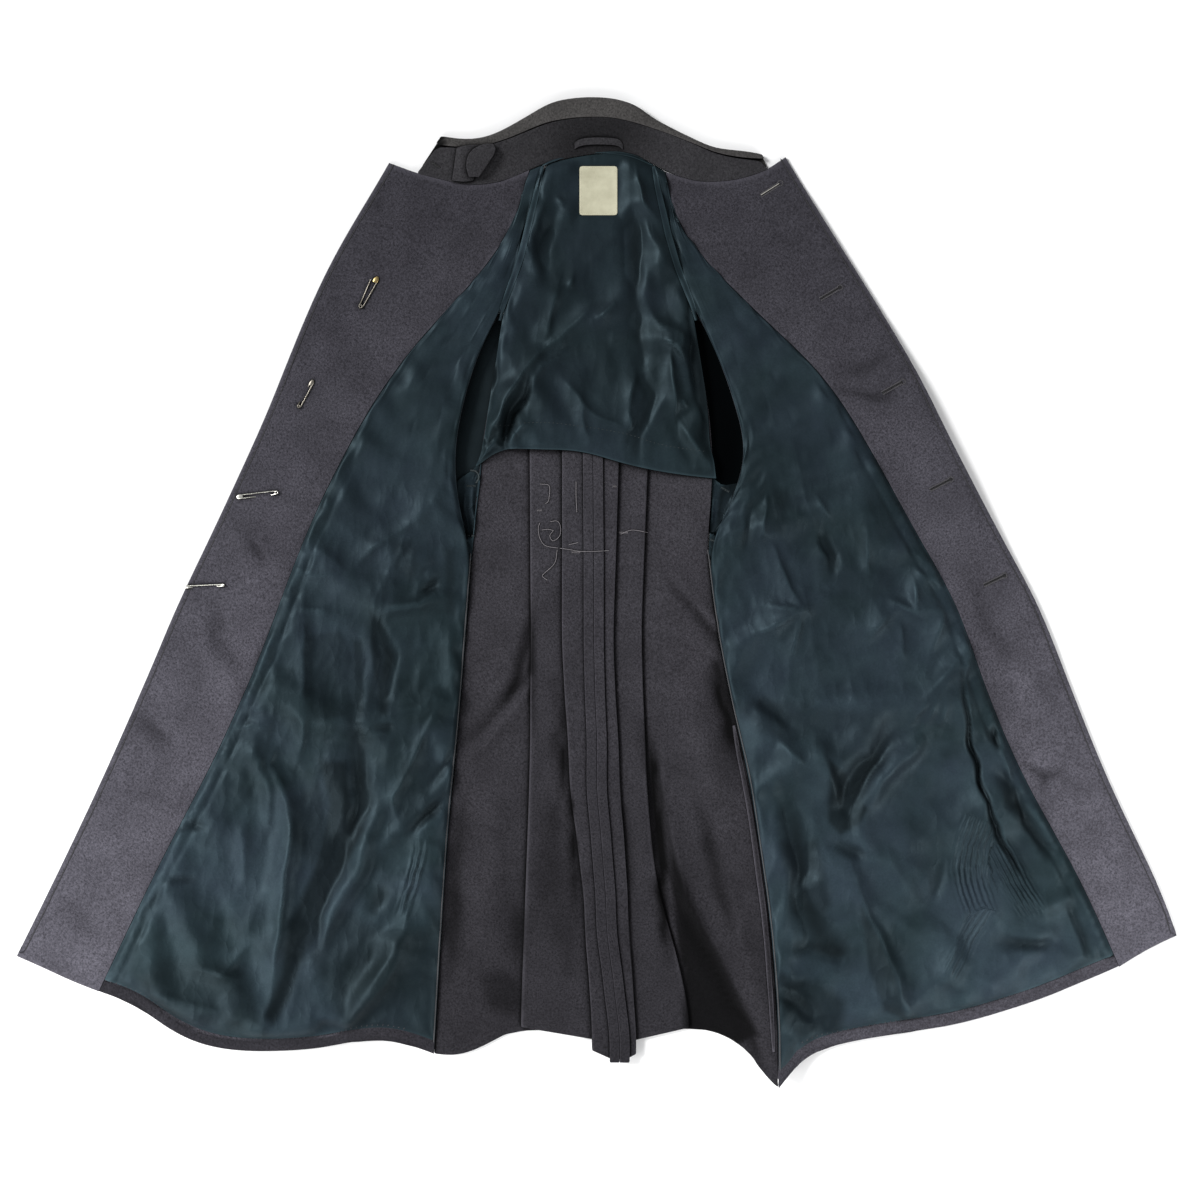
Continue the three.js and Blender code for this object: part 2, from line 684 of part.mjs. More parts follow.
// The fall: from the stand seam over the roll and back beneath the stand
function fallGrids(neck) {
  const fractions = arcFractions(neck);
  const seam = pointsAlong(STAND_SEAM, fractions);
  const outline = pointsAlong(FALL_OUTLINE, fractions);
  const half = WOOL / 2;
  const lower = [];
  const upper = [];
  fractions.forEach((fraction, index) => {
    const roll = outline[index];
    const inward = new THREE.Vector3().subVectors(neck[index], roll).setZ(0);
    const depth = inward.length();
    inward.normalize();
    const seamAt = new THREE.Vector3().subVectors(seam[index], roll).dot(inward) - GAP / 2;
    const top = collarHeight(fraction) + half;
    const radius = Math.min((top - half) / 2, seamAt - half);
    const centreZ = (top + half) / 2;
    const rise = (top - half) / 2;
    const path = [[seamAt, top, 0, 1]];
    evenFractions(4).forEach((turn) => {
      const angle = Math.PI * (0.5 + turn);
      const across = Math.cos(angle);
      const up = Math.sin(angle);
      path.push([half + radius + radius * across, centreZ + rise * up, across, up]);
    });
    path.push([depth * 0.5, half, 0, -1], [depth * FALL_REACH, half, 0, -1]);
    const placed = (s, z) => new THREE.Vector3(roll.x, roll.y, z).addScaledVector(inward, s);
    upper.push(path.map(([s, z, across, up]) => placed(s + across * half, z + up * half)));
    lower.push(path.map(([s, z, across, up]) => placed(s - across * half, z - up * half)));
  });
  return { lower, upper };
}

// Height of the top face of a grid at a place in plan
function surfaceHeight(grid, x, y, lift) {
  for (let i = 0; i < grid.length - 1; i += 1) {
    for (let j = 0; j < grid[i].length - 1; j += 1) {
      const corners = [grid[i][j], grid[i + 1][j], grid[i + 1][j + 1], grid[i][j + 1]];
      for (const [a, b, c] of [[0, 1, 2], [0, 2, 3]]) {
        const target = new THREE.Vector3(x, y, 0);
        const flat = [a, b, c].map((index) => corners[index].clone().setZ(0));
        const triangle = new THREE.Triangle(...flat);
        const shares = triangle.getBarycoord(target, new THREE.Vector3());
        if (shares && Math.min(shares.x, shares.y, shares.z) >= -1e-9) {
          const heights = corners[a].z * shares.x + corners[b].z * shares.y;
          return heights + corners[c].z * shares.z + lift;
        }
      }
    }
  }
  const away = (point) => Math.hypot(point.x - x, point.y - y);
  const nearest = grid.flat().reduce((best, point) => (away(point) < away(best) ? point : best));
  return nearest.z + lift;
}

function labelGeometry(ground) {
  const { x, y, width, height, thickness } = LABEL;
  const shares = evenFractions(4);
  const grid = shares.map((down) => shares.map((across) => {
    const px = x + width * (across - 0.5);
    const py = y + height * (0.5 - down);
    return new THREE.Vector3(px, py, surfaceHeight(ground, px, py, FACING_LIFT));
  }));
  const highest = Math.max(...grid.flat().map((point) => point.z));
  grid.flat().forEach((point) => { point.z = highest + SATIN + GAP; });
  return sheetGeometry(grid, thickness);
}

function hangerSections(stand) {
  return HANGER.map(({ x, y, lift }) => [-0.5, 0.5].map((side) => {
    const py = y + side * HANGER_WIDTH;
    return new THREE.Vector3(x, py, surfaceHeight(stand, x, py, WOOL) + lift);
  }));
}

function highestGround(stand, places) {
  return Math.max(...places.map(([x, y]) => surfaceHeight(stand, x, y, WOOL)));
}

function tabStrapSections(stand) {
  return TAB_STRAP.map(({ x1, y1, x2, y2, lift }) => evenFractions(3).map((share) => {
    const x = lerp(x1, x2, share);
    const y = lerp(y1, y2, share);
    const ground = highestGround(stand, [[x, y], [x - 4, y], [x + 4, y], [x, y + 4]]);
    return new THREE.Vector3(x, y, ground + lift);
  }));
}

function tabEndSections(stand) {
  return TAB_END.map(({ x1, x2, y, lift }) => evenFractions(2).map((share) => {
    const x = lerp(x1, x2, share);
    const ground = highestGround(stand, [[x, y], [x, y + 6], [x, y - 6]]);
    return new THREE.Vector3(x, y, ground + WOOL + GAP + lift + 2 * share * (1 - share));
  }));
}

function domeGeometry() {
  const profile = [
    new THREE.Vector2(0, 0), new THREE.Vector2(BUTTON_RADIUS * 0.5, 0.5),
    new THREE.Vector2(BUTTON_RADIUS * 0.85, 1.8), new THREE.Vector2(BUTTON_RADIUS, 3.6),
    new THREE.Vector2(BUTTON_RADIUS * 0.92, 4.4), new THREE.Vector2(3.4, 4.4),
    new THREE.Vector2(3.4, BUTTON_HEIGHT), new THREE.Vector2(0, BUTTON_HEIGHT),
  ];
  const geometry = new THREE.LatheGeometry(profile, 14);
  geometry.rotateX(Math.PI / 2);
  return geometry;
}

const wasm = await Module();
wasm.setup();

function toSolid(geometry) {
  const plain = geometry.clone();
  plain.deleteAttribute('normal');
  plain.deleteAttribute('uv');
  const merged = mergeVertices(plain, 1e-5);
  return new wasm.Manifold(new wasm.Mesh({
    numProp: 3,
    vertProperties: new Float32Array(merged.getAttribute('position').array),
    triVerts: new Uint32Array(merged.getIndex().array),
  }));
}

function toGeometry(solid) {
  const mesh = solid.getMesh();
  const geometry = new THREE.BufferGeometry();
  geometry.setAttribute('position', new THREE.BufferAttribute(mesh.vertProperties, 3));
  geometry.setIndex(new THREE.BufferAttribute(mesh.triVerts, 1));
  geometry.computeVertexNormals();
  return geometry;
}

// Closed safety pin along +X: a cap, two arms and a coil that turns up and over
function pinGeometry(length) {
  const arm = PIN_WIDTH / 2;
  const coil = PIN_COIL_RADIUS;
  const loop = evenFractions(10).map((turn) => {
    const angle = Math.PI / 2 - turn * 2 * Math.PI;
    const x = length - coil + coil * Math.cos(angle);
    return new THREE.Vector3(x, coil * Math.sin(angle), 2.6 * PIN_WIRE * turn);
  });
  const start = new THREE.Vector3(1, arm, 0);
  const end = new THREE.Vector3(1, -arm, 0);
  const path = new THREE.CatmullRomCurve3([
    start, new THREE.Vector3(length * 0.4, arm, 0), ...loop,
    new THREE.Vector3(length * 0.8, 0.6, 2.6 * PIN_WIRE),
    new THREE.Vector3(length * 0.45, -arm * 0.8, 0.8), end,
  ], false, 'centripetal');
  const section = new THREE.Shape();
  section.absarc(0, 0, PIN_WIRE, 0, 2 * Math.PI);
  const wire = new THREE.ExtrudeGeometry(section, {
    extrudePath: path, steps: 36, curveSegments: 3, bevelEnabled: false,
  });
  const cap = new THREE.CapsuleGeometry(PIN_CAP_RADIUS, PIN_WIDTH, 2, 6);
  cap.scale(PIN_CAP_LENGTH / (3.2 * PIN_CAP_RADIUS), 1, 1);
  cap.translate(PIN_CAP_LENGTH / 3, 0, 0);
  return toGeometry(toSolid(wire).add(toSolid(cap)));
}

function placedPin(pin, grid) {
  const length = Math.hypot(pin.coilX - pin.capX, pin.coilY - pin.capY);
  const geometry = pinGeometry(length);
  const seats = evenFractions(8).map((share) => {
    const x = lerp(pin.capX, pin.coilX, share);
    const y = lerp(pin.capY, pin.coilY, share);
    const around = [-PIN_CLEAR_WIDTH, 0, PIN_CLEAR_WIDTH].map((step) => (
      surfaceHeight(grid, x, y + step, FACING_LIFT + WOOL)
    ));
    return Math.max(...around) + (share <= PIN_CAP_SHARE ? PIN_CAP_RADIUS : PIN_WIRE);
  });
  const height = Math.max(...seats) + GAP;
  geometry.rotateZ(Math.atan2(pin.coilY - pin.capY, pin.coilX - pin.capX));
  geometry.translate(pin.capX, pin.capY, height);
  return geometry;
}

const coat = new THREE.Group();

function addPiece(name, geometry, color, roughness = 0.9, metalness = 0) {
  const material = new THREE.MeshStandardMaterial({ color, roughness, metalness });
  const mesh = new THREE.Mesh(geometry, material);
  mesh.name = name;
  coat.add(mesh);
  return mesh;
}

const grids = { right: frontGrid(SIDES.right), left: frontGrid(SIDES.left) };
const body = backGrid();
const neck = neckLine(grids.right, grids.left, body);
const stand = standGrid(neck);
const fall = fallGrids(neck);

Object.entries(SIDES).forEach(([name, side]) => {
  const grid = grids[name];
  addPiece(`front_${name}`, sheetGeometry(grid, WOOL), COLOURS.wool);
  addPiece(`facing_${name}`, sheetGeometry(facingGrid(grid), WOOL, FACING_LIFT), COLOURS.wool);
  const lining = sheetGeometry(liningGrid(grid), SATIN, FACING_LIFT);
  addPiece(`front_lining_${name}`, lining, COLOURS.satin, 0.45);
  addPiece(`sleeve_${name}`, sleeveGeometry(side), COLOURS.wool);
  const skirt = skirtGrids(side);
  addPiece(`back_skirt_${name}`, wallGeometry(skirt.lower, skirt.upper), COLOURS.wool);
});

addPiece('back_body', sheetGeometry(body, WOOL), COLOURS.wool);
addPiece('back_lining', sheetGeometry(backLiningGrid(body), SATIN), COLOURS.satin, 0.45);
addPiece('collar_stand', sheetGeometry(stand, WOOL), COLOURS.collar);
addPiece('collar_fall', wallGeometry(fall.lower, fall.upper), COLOURS.collar);
addPiece('throat_tab', sheetGeometry(tabStrapSections(stand), WOOL), COLOURS.wool);
addPiece('throat_tab_end', sheetGeometry(tabEndSections(stand), WOOL), COLOURS.wool);
addPiece('hanger_loop', sheetGeometry(hangerSections(stand), SATIN), COLOURS.wool);
addPiece('label', labelGeometry(body), COLOURS.label, 0.7);

BUTTONS.forEach(({ x, y, seat }, index) => {
  const button = addPiece(`button_${index + 1}`, domeGeometry(), COLOURS.brass, 0.35, 1);
  button.position.set(x, y, seat);
});
PINS.forEach((pin, index) => {
  const geometry = placedPin(pin, grids.right);
  addPiece(`safety_pin_${index + 1}`, geometry, COLOURS.steel, 0.3, 1);
});

// The origin is under the middle of the whole coat
const bounds = new THREE.Box3().setFromObject(coat);
const middle = bounds.getCenter(new THREE.Vector3());
coat.position.set(-middle.x, -middle.y, -bounds.min.z);
coat.updateMatrixWorld(true);

export default coat;
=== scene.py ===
"""Looks of a military greatcoat that lies open on its back, lining side up.

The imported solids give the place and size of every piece. Each class below dresses one part of the
coat around them: the fronts, the back with its pleats, the sleeves, the collar, and the small
fittings. Sizes in the tables are millimetres in the frame of the solids; meshes are in metres.
"""

import logging
import math
from collections.abc import Callable, Iterable, Iterator, Sequence
from contextlib import contextmanager
from dataclasses import dataclass, field
from enum import Enum

import bmesh
import bpy
import numpy as np
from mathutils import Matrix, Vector
from mathutils.bvhtree import BVHTree
from mathutils.kdtree import KDTree


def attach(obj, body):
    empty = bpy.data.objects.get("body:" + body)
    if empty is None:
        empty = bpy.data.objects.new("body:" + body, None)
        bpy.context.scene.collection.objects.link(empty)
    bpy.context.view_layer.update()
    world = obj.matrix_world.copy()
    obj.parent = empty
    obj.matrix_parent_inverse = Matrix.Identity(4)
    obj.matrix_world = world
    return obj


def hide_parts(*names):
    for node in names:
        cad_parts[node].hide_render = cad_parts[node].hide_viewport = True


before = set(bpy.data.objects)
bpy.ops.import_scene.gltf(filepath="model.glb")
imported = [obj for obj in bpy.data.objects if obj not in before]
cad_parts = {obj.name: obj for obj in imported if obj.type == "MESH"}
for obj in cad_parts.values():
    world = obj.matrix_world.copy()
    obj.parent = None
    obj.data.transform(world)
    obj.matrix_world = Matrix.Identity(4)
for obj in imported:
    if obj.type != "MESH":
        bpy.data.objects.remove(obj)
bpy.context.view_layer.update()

# Lengths are millimetres, angles degrees; MM turns a length into metres
MM = 0.001
FLOOR_CLEAR = 0.05
HIGHEST = 32.5
HEIGHT_BEND = 3
WOOL_WALL = 2.0
SATIN_WALL = 0.5
SEAM_REACH = 7
NECK_FADE = (455, 500)
SHARP_FOLD = 50
BAND_DIP = 1.5
RIB_WAVE = 6.2832
# Depth of a trough, in millimetres, at which its painted shade is darkest
DEEPEST_TROUGH = 6
WOOL_REST = 1.2
LABEL_PLACE = (2, 486)
LABEL_SIZE = (46, 60)

# Random patterns: cells of their lattice, and how uneven and wavering the creases are
LATTICE = 256
LATTICE_SHAPE = (LATTICE, LATTICE)
UNEVEN, UNEVEN_SIZE = 0.35, 38
WAVER, WAVER_SIZE = 3.2, 26

# Names for types
Array = np.ndarray
Piece = bpy.types.Object
Socket = bpy.types.NodeSocket
Material = bpy.types.Material
Point = tuple[float, float]
Place = tuple[float, float, float]
StitchPlace = tuple[float, float, float, float]
Path2 = tuple[Point, ...]
Colour = tuple[float, float, float]
LOG = logging.getLogger("greatcoat")


class Side(Enum):
    """The wearer's side of the coat; its value is the sign of X."""

    RIGHT = -1
    LEFT = 1

    @property
    def label(self) -> str:
        """Name of the side in the names of pieces."""
        return self.name.lower()


class Form(Enum):
    """How the crest of a crease looks."""

    SOFT = "soft"
    KEEN = "keen"


S, K = Form.SOFT, Form.KEEN


# Creases in the cloth


@dataclass(frozen=True)
class Crease:
    """One ridge, or trough where its height is below zero, pressed in the cloth.

    Attributes:
        path: points of its line, in millimetres.
        height: height of the crest, in millimetres.
        left: half-width on the left as one goes along the path.
        right: half-width on the right.
        form: soft or keen crest.
    """

    path: Path2
    height: float
    left: float
    right: float
    form: Form

    def heights(self, places: Array) -> Array:
        """Height that this crease adds at each place.

        Args:
            places: array of x and y, in millimetres.

        Returns:
            Array of heights in millimetres.
        """
        line = np.array(self.path, float)
        reach = 4 * max(self.left, self.right)
        low, high = line.min(axis=0) - reach, line.max(axis=0) + reach
        near = np.all((places > low) & (places < high), axis=1)
        raised = np.zeros(len(places))
        if not near.any():
            return raised
        away, side, share = measure_line(line, places[near])
        width = np.where(side > 0, self.left, self.right)
        if self.form is Form.SOFT:
            profile = np.exp(-((away / width) ** 2))
        else:
            profile = np.exp(-1.3 * np.sqrt(away**2 + 0.6) / width + 1.0 / width)
        taper = np.sin(np.pi * np.clip(share, 0.03, 0.97)) ** 0.6
        raised[near] = self.height * taper * profile
        return raised


def measure_line(line: Array, places: Array) -> tuple[Array, Array, Array]:
    """Where places lie from a line of straight stretches.

    Args:
        line: its points.
        places: array of x and y.

    Returns:
        Distance from the line, a number above zero on its left, and the share of its length.
    """
    starts, along = line[:-1], np.diff(line, axis=0)
    lengths = np.linalg.norm(along, axis=1)
    offset = places[:, None, :] - starts[None]
    share = np.clip((offset * along).sum(axis=2) / lengths**2, 0, 1)
    gap = offset - share[..., None] * along
    distance = np.linalg.norm(gap, axis=2)
    rows, nearest = np.arange(len(places)), distance.argmin(axis=1)
    chosen = gap[rows, nearest]
    side = along[nearest, 0] * chosen[:, 1] - along[nearest, 1] * chosen[:, 0]
    before = np.concatenate([[0], np.cumsum(lengths)[:-1]])
    travelled = before[nearest] + share[rows, nearest] * lengths[nearest]
    return distance[rows, nearest], side, travelled / lengths.sum()


def creases(*rows: tuple[Path2, float, float, float, Form]) -> tuple[Crease, ...]:
    """Creases from rows of path, height, left half-width, right half-width and form."""
    return tuple(Crease(*row) for row in rows)


def pressed(marks: Iterable[Crease], places: Array) -> Array:
    """Height that several creases give together, with their lines a little uneven.

    Args:
        marks: the creases.
        places: array of x and y, in millimetres.

    Returns:
        Array of heights in millimetres.
    """
    waver = np.stack([ripple(places, WAVER_SIZE, seed) for seed in (301, 302)], axis=1)
    moved = places + WAVER * waver
    uneven = 1 + UNEVEN * ripple(places, UNEVEN_SIZE, 303)
    return sum((mark.heights(moved) for mark in marks), np.zeros(len(places))) * uneven


def ripple(places: Array, size: float, seed: int) -> Array:
    """Smooth random values from -1 to 1.

    Args:
        places: array of x and y, in millimetres.
        size: width of one lump, in millimetres.
        seed: number that fixes the pattern.

    Returns:
        Array of values, the same on every run.
    """
    lattice = np.random.default_rng(seed).uniform(-1, 1, LATTICE_SHAPE)
    grid = places / size + LATTICE // 2
    cell = np.floor(grid).astype(int)
    part = grid - cell
    ease = part * part * (3 - 2 * part)
    (x0, y0), (x1, y1) = (cell % LATTICE).T, ((cell + 1) % LATTICE).T
    low = lattice[x0, y0] * (1 - ease[:, 0]) + lattice[x1, y0] * ease[:, 0]
    high = lattice[x0, y1] * (1 - ease[:, 0]) + lattice[x1, y1] * ease[:, 0]
    return low * (1 - ease[:, 1]) + high * ease[:, 1]


def crumple(places: Array, size: float, seed: int) -> Array:
    """Thin raised lines between hollow patches, as worn lining has them.

    Args:
        places: array of x and y, in millimetres.
        size: width of one patch, in millimetres.
        seed: number that fixes the pattern.

    Returns:
        Array of values from 0 to 1.
    """
    warp = np.stack([ripple(places, size, seed + 1), ripple(places, size, seed + 2)], axis=1)
    lines = 1 - 1.6 * np.abs(ripple(places + 0.5 * size * warp, size, seed))
    return np.clip(lines, 0, 1) ** 2.2


def facets(places: Array, size: float, seed: int) -> Array:
    """Shallow dishes that meet in keen lines, as the folds of a thin lining do.

    Args:
        places: array of x and y, in millimetres.
        size: width of one dish, in millimetres.
        seed: number that fixes the pattern.

    Returns:
        Array of values from 0 at the bottom of a dish to 1.
    """
    jitter = np.random.default_rng(seed).uniform(0, 1, (*LATTICE_SHAPE, 2))
    warp = np.stack([ripple(places, size, seed + 1), ripple(places, size, seed + 2)], axis=1)
    grid = places / size + LATTICE // 2 + 0.4 * warp
    cell = np.floor(grid).astype(int)
    nearest = np.ones(len(places))
    for step in ((x, y) for x in (-1, 0, 1) for y in (-1, 0, 1)):
        column, row = ((cell + step) % LATTICE).T
        gap = grid - (cell + step) - jitter[column, row]
        nearest = np.minimum(nearest, (gap**2).sum(axis=1))
    return nearest


def eased(values: Array, low: float, high: float) -> Array:
    """Values turned into a smooth step from 0 at low to 1 at high."""
    part = np.clip((values - low) / (high - low), 0, 1)
    return part * part * (3 - 2 * part)


def smooth_line(path: Sequence[Point], step: float = 4.0) -> Array:
    """Evenly spaced points on a rounded line through the given ones.

    Args:
        path: the points it goes through.
        step: spacing, in millimetres.

    Returns:
        Array of x and y.
    """
    points = np.array(path, float)
    padded = np.vstack([2 * points[0] - points[1], points, 2 * points[-1] - points[-2]])
    parts = []
    for index in range(1, len(padded) - 2):
        p0, p1, p2, p3 = padded[index - 1 : index + 3]
        t = np.linspace(0, 1, 24, endpoint=False)[:, None]
        parts.append(
            0.5
            * (2 * p1 + (p2 - p0) * t + (2 * p0 - 5 * p1 + 4 * p2 - p3) * t**2)
            + 0.5 * (3 * p1 - p0 - 3 * p2 + p3) * t**3
        )
    dense = np.vstack([*parts, points[-1:]])
    lengths = np.concatenate([[0], np.cumsum(np.linalg.norm(np.diff(dense, axis=0), axis=1))])
    places = np.arange(0, lengths[-1], step)
    return np.stack([np.interp(places, lengths, dense[:, axis]) for axis in (0, 1)], axis=1)


def shifted_line(line: Array, distance: float) -> Array:
    """The line moved to its left by a distance."""
    along = np.gradient(line, axis=0)
    along /= np.linalg.norm(along, axis=1, keepdims=True)
    return line + distance * np.stack([-along[:, 1], along[:, 0]], axis=1)


# Creases of the wool, shared by the shell, the facings and the skirt
WOOL_CREASES = creases(
    (((-446, 77), (-369, 30)), 4, 10, 14, S),
    (((-458, -15), (-458, -62), (-431, -98)), -3, 10, 12, S),
    (((-458, -174), (-517, -185)), 3, 8, 8, S),
    (((-576, -210), (-573, -239)), 2, 6, 6, S),
    (((-496, -224), (-520, -262)), 2.5, 7, 7, S),
    (((-597, -239), (-506, -272)), 2.5, 8, 8, S),
    (((-362, 354), (-447, 207)), 2, 20, 20, S),
    (((564, -242), (592, -242)), 2.5, 5, 8, S),
    (((504, -61), (548, -142)), 2.5, 12, 10, S),
    (((212, 317), (346, 207)), 2, 22, 18, S),
    (((346, 110), (407, 0)), 2, 14, 20, S),
    (((300, 268), (330, 274), (364, 292)), -4, 6, 6, S),
    (((284, 247), (318, 240), (340, 234), (372, 240)), -5, 5, 6, S),
    (((318, 258), (356, 262)), 3, 8, 8, S),
    (((520, -212), (548, -224), (570, -222)), -5, 5, 6, S),
    (((548, -224), (544, -242)), -4, 5, 5, S),
    (((452, 20), (480, -40), (508, -88)), -3, 12, 10, S),
    (((590, -300), (640, -352)), 3, 14, 12, S),
    (((-420, 60), (-398, 34)), -4, 6, 6, S),
    (((-470, -60), (-440, -128)), 3, 12, 14, S),
    (((-560, -150), (-520, -190)), -4, 7, 7, S),
    (((-600, -300), (-560, -340)), 3, 14, 12, S),
    (((-640, -380), (-600, -430)), -3, 10, 10, S),
)

SKIRT_CREASES = creases(
    (((-72, -96), (-112, -136), (-160, -190)), -3.5, 4, 9, S),
    (((-68, -111), (-112, -160), (-156, -211)), 5, 6, 10, K),
    (((-46, 24), (-60, -2), (-74, -38)), 3, 6, 6, S),
    (((86, 17), (118, -22), (150, -62), (176, -98)), -4, 3, 6, S),
    (((92, 24), (126, -16), (158, -56)), 4, 9, 4, K),
    (((143, -98), (151, -130), (162, -170), (176, -205)), -9, 5, 9, S),
    (((114, -122), (134, -195), (153, -268)), 7, 20, 22, S),
    (((21, -110), (30, -122)), 2, 5, 5, S),
    (((-118, -232), (-127, -329), (-132, -427)), 5, 18, 16, S),
    (((-93, -378), (-98, -451)), -4, 12, 12, S),
    (((60, -160), (63, -176), (71, -243), (77, -304), (81, -378), (88, -452)), -10, 6, 6, S),
    (((66, -160), (78, -225), (86, -280), (110, -381), (134, -417), (159, -466), (186, -521), (209, -570)),
     8, 24, 4, K),
    (((100, -388), (126, -426), (151, -475), (178, -530), (201, -580)), -8, 5, 7, S),
    (((142, -322), (180, -438), (212, -538), (223, -593)), 6, 13, 14, S),
    (((-48, -110), (-46, -170), (-42, -215), (-35, -262), (-29, -320), (-24, -378), (-17, -420)),
     -8, 5, 5, S),
    (((-76, -20), (-84, -62), (-98, -104), (-112, -136)), -5, 7, 6, S),
    (((128, -262), (150, -360), (166, -420)), -4, 8, 8, S),
    (((-160, -260), (-172, -360), (-178, -470)), -4, 12, 10, S),
    (((-62, -250), (-66, -340), (-64, -430)), -3, 9, 9, S),
)

RIGHT_LINING_CREASES = creases(
    (((-353, -37), (-353, -110), (-354, -174), (-364, -207)), 6, 6, 20, K),
    (((-378, -179), (-396, -210), (-373, -260), (-369, -301), (-384, -400), (-401, -527)), 7, 7, 20, K),
    (((-269, -29), (-251, -82), (-260, -150)), -5, 8, 13, S),
    (((-286, -67), (-290, -156), (-284, -260), (-306, -314), (-356, -437), (-387, -510)), -6, 11, 12, S),
    (((-245, -240), (-275, -292), (-295, -348), (-331, -415)), 7, 11, 12, S),
    (((-195, -142), (-245, -251), (-239, -292)), 4, 6, 8, K),
    (((-195, 101), (-271, 51), (-304, 24)), 4, 6, 14, K),
    (((-265, -23), (-213, -17), (-188, -6)), 4, 8, 8, S),
    (((-230, 46), (-206, 24)), 5, 16, 16, S),
    (((-192, 12), (-209, -2)), -4, 5, 5, S),
    (((-174, -195), (-201, -233)), -5, 6, 6, S),
    (((-182, -251), (-226, -296)), -5, 6, 6, S),
    (((-269, -168), (-245, -165)), -4, 5, 5, S),
    (((-361, -23), (-319, -29)), 2.5, 5, 6, K),
    (((-369, 21), (-304, 18)), 2.5, 5, 6, K),
    (((-337, 54), (-304, 21)), 3, 5, 8, K),
    (((-331, 74), (-348, 27)), 3, 5, 9, K),
    (((-423, -142), (-398, -144)), 2.5, 4, 6, K),
    (((-440, -171), (-417, -162), (-396, -171)), 2.5, 4, 6, K),
    (((-504, -287), (-474, -285)), -3, 5, 5, S),
    (((-519, -353), (-485, -350)), -3, 5, 5, S),
    (((-415, -199), (-396, -251), (-401, -292)), 4, 7, 12, S),
    (((-429, -274), (-431, -351)), 3, 7, 10, S),
    (((-232, -409), (-260, -471), (-303, -521)), 7, 13, 15, S),
    (((-258, -359), (-275, -395)), -5, 11, 11, S),
    (((-232, -344), (-230, -417)), 3, 5, 6, K),
    (((-511, -451), (-429, -471)), 3, 6, 9, K),
    (((-541, -490), (-457, -510)), 3, 6, 9, K),
    (((-418, -428), (-463, -471)), 3, 6, 8, K),
    (((-340, -523), (-303, -540)), -3, 8, 8, S),
    (((-533, -367), (-558, -415)), -2, 4, 4, S),
)

LEFT_LINING_CREASES = creases(
    (((208, 62), (252, -24)), 5, 5, 14, K),
    (((252, -24), (197, -52)), 3.5, 5, 8, K),
    (((206, -18), (252, -24)), 3, 5, 7, K),
    (((252, -24), (235, -82)), 3.5, 5, 8, K),
    (((273, 73), (287, 43), (284, 20)), -5, 6, 8, S),
    (((264, 120), (284, 83)), 3.5, 4, 9, K),
    (((328, 77), (328, 13)), 4, 6, 11, K),
    (((353, -10), (400, -37)), 3.5, 4, 7, K),
    (((368, -23), (419, -27)), 3, 4, 6, K),
    (((385, 11), (387, -27)), 3.5, 4, 7, K),
    (((387, 22), (419, 5)), 3, 4, 7, K),
    (((368, -39), (373, -88)), 3.5, 5, 8, K),
    (((419, -27), (404, -82)), 3.5, 5, 8, K),
    (((356, -29), (328, -61)), 3.5, 4, 8, K),
    (((192, -133), (243, -162)), -5, 6, 8, S),
    (((220, -183), (249, -211)), 5, 6, 11, K),
    (((265, -177), (282, -226), (297, -271)), 6, 8, 16, S),
    (((400, -176), (353, -227), (329, -266)), 6, 8, 16, S),
    (((445, -73), (407, -122), (373, -168)), 4, 4, 7, K),
    (((428, -105), (391, -171)), 3.5, 4, 6, K),
    (((431, -120), (411, -168)), 3, 4, 6, K),
    (((453, -73), (442, -107), (448, -139), (453, -183), (465, -239), (487, -298), (518, -342)),
     6, 4, 18, K),
    (((483, -165), (491, -200), (517, -283), (540, -317)), 4, 4, 9, K),
    (((315, -348), (331, -394), (356, -448), (375, -498), (381, -526)), 7, 6, 20, K),
    (((291, -311), (328, -323)), -4, 7, 7, S),
    (((235, -432), (307, -442)), -4, 8, 8, S),
    (((486, -428), (556, -432)), -4, 7, 7, S),
    (((171, 128), (154, 83)), -3, 5, 5, S),
    (((188, 94), (180, 51)), -3, 5, 5, S),
    (((203, 117), (203, 68), (224, 68)), 2.5, 4, 4, K),
    (((450, -382), (424, -470)), 3.5, 5, 8, K),
    (((441, -100), (447, -140), (455, -186), (465, -226), (475, -261), (487, -298), (505, -323),
      (520, -348)), -9, 2, 4, S),
    (((363, -164), (331, -209), (309, -259), (304, -296)), -6, 14, 14, S),
    (((482, -165), (488, -192)), -6, 3, 3, S),
    (((488, -216), (510, -259), (533, -296), (550, -318)), -6, 6, 9, S),
    (((573, -383), (585, -408), (602, -445)), -6, 5, 5, S),
    (((224, -478), (250, -500), (265, -524)), -7, 12, 10, S),
    (((249, -358), (274, -420), (311, -445)), -5, 16, 16, S),
    (((232, -250), (246, -320), (252, -380)), -5, 13, 13, S),
    (((420, -330), (408, -372)), -4, 8, 8, S),
)

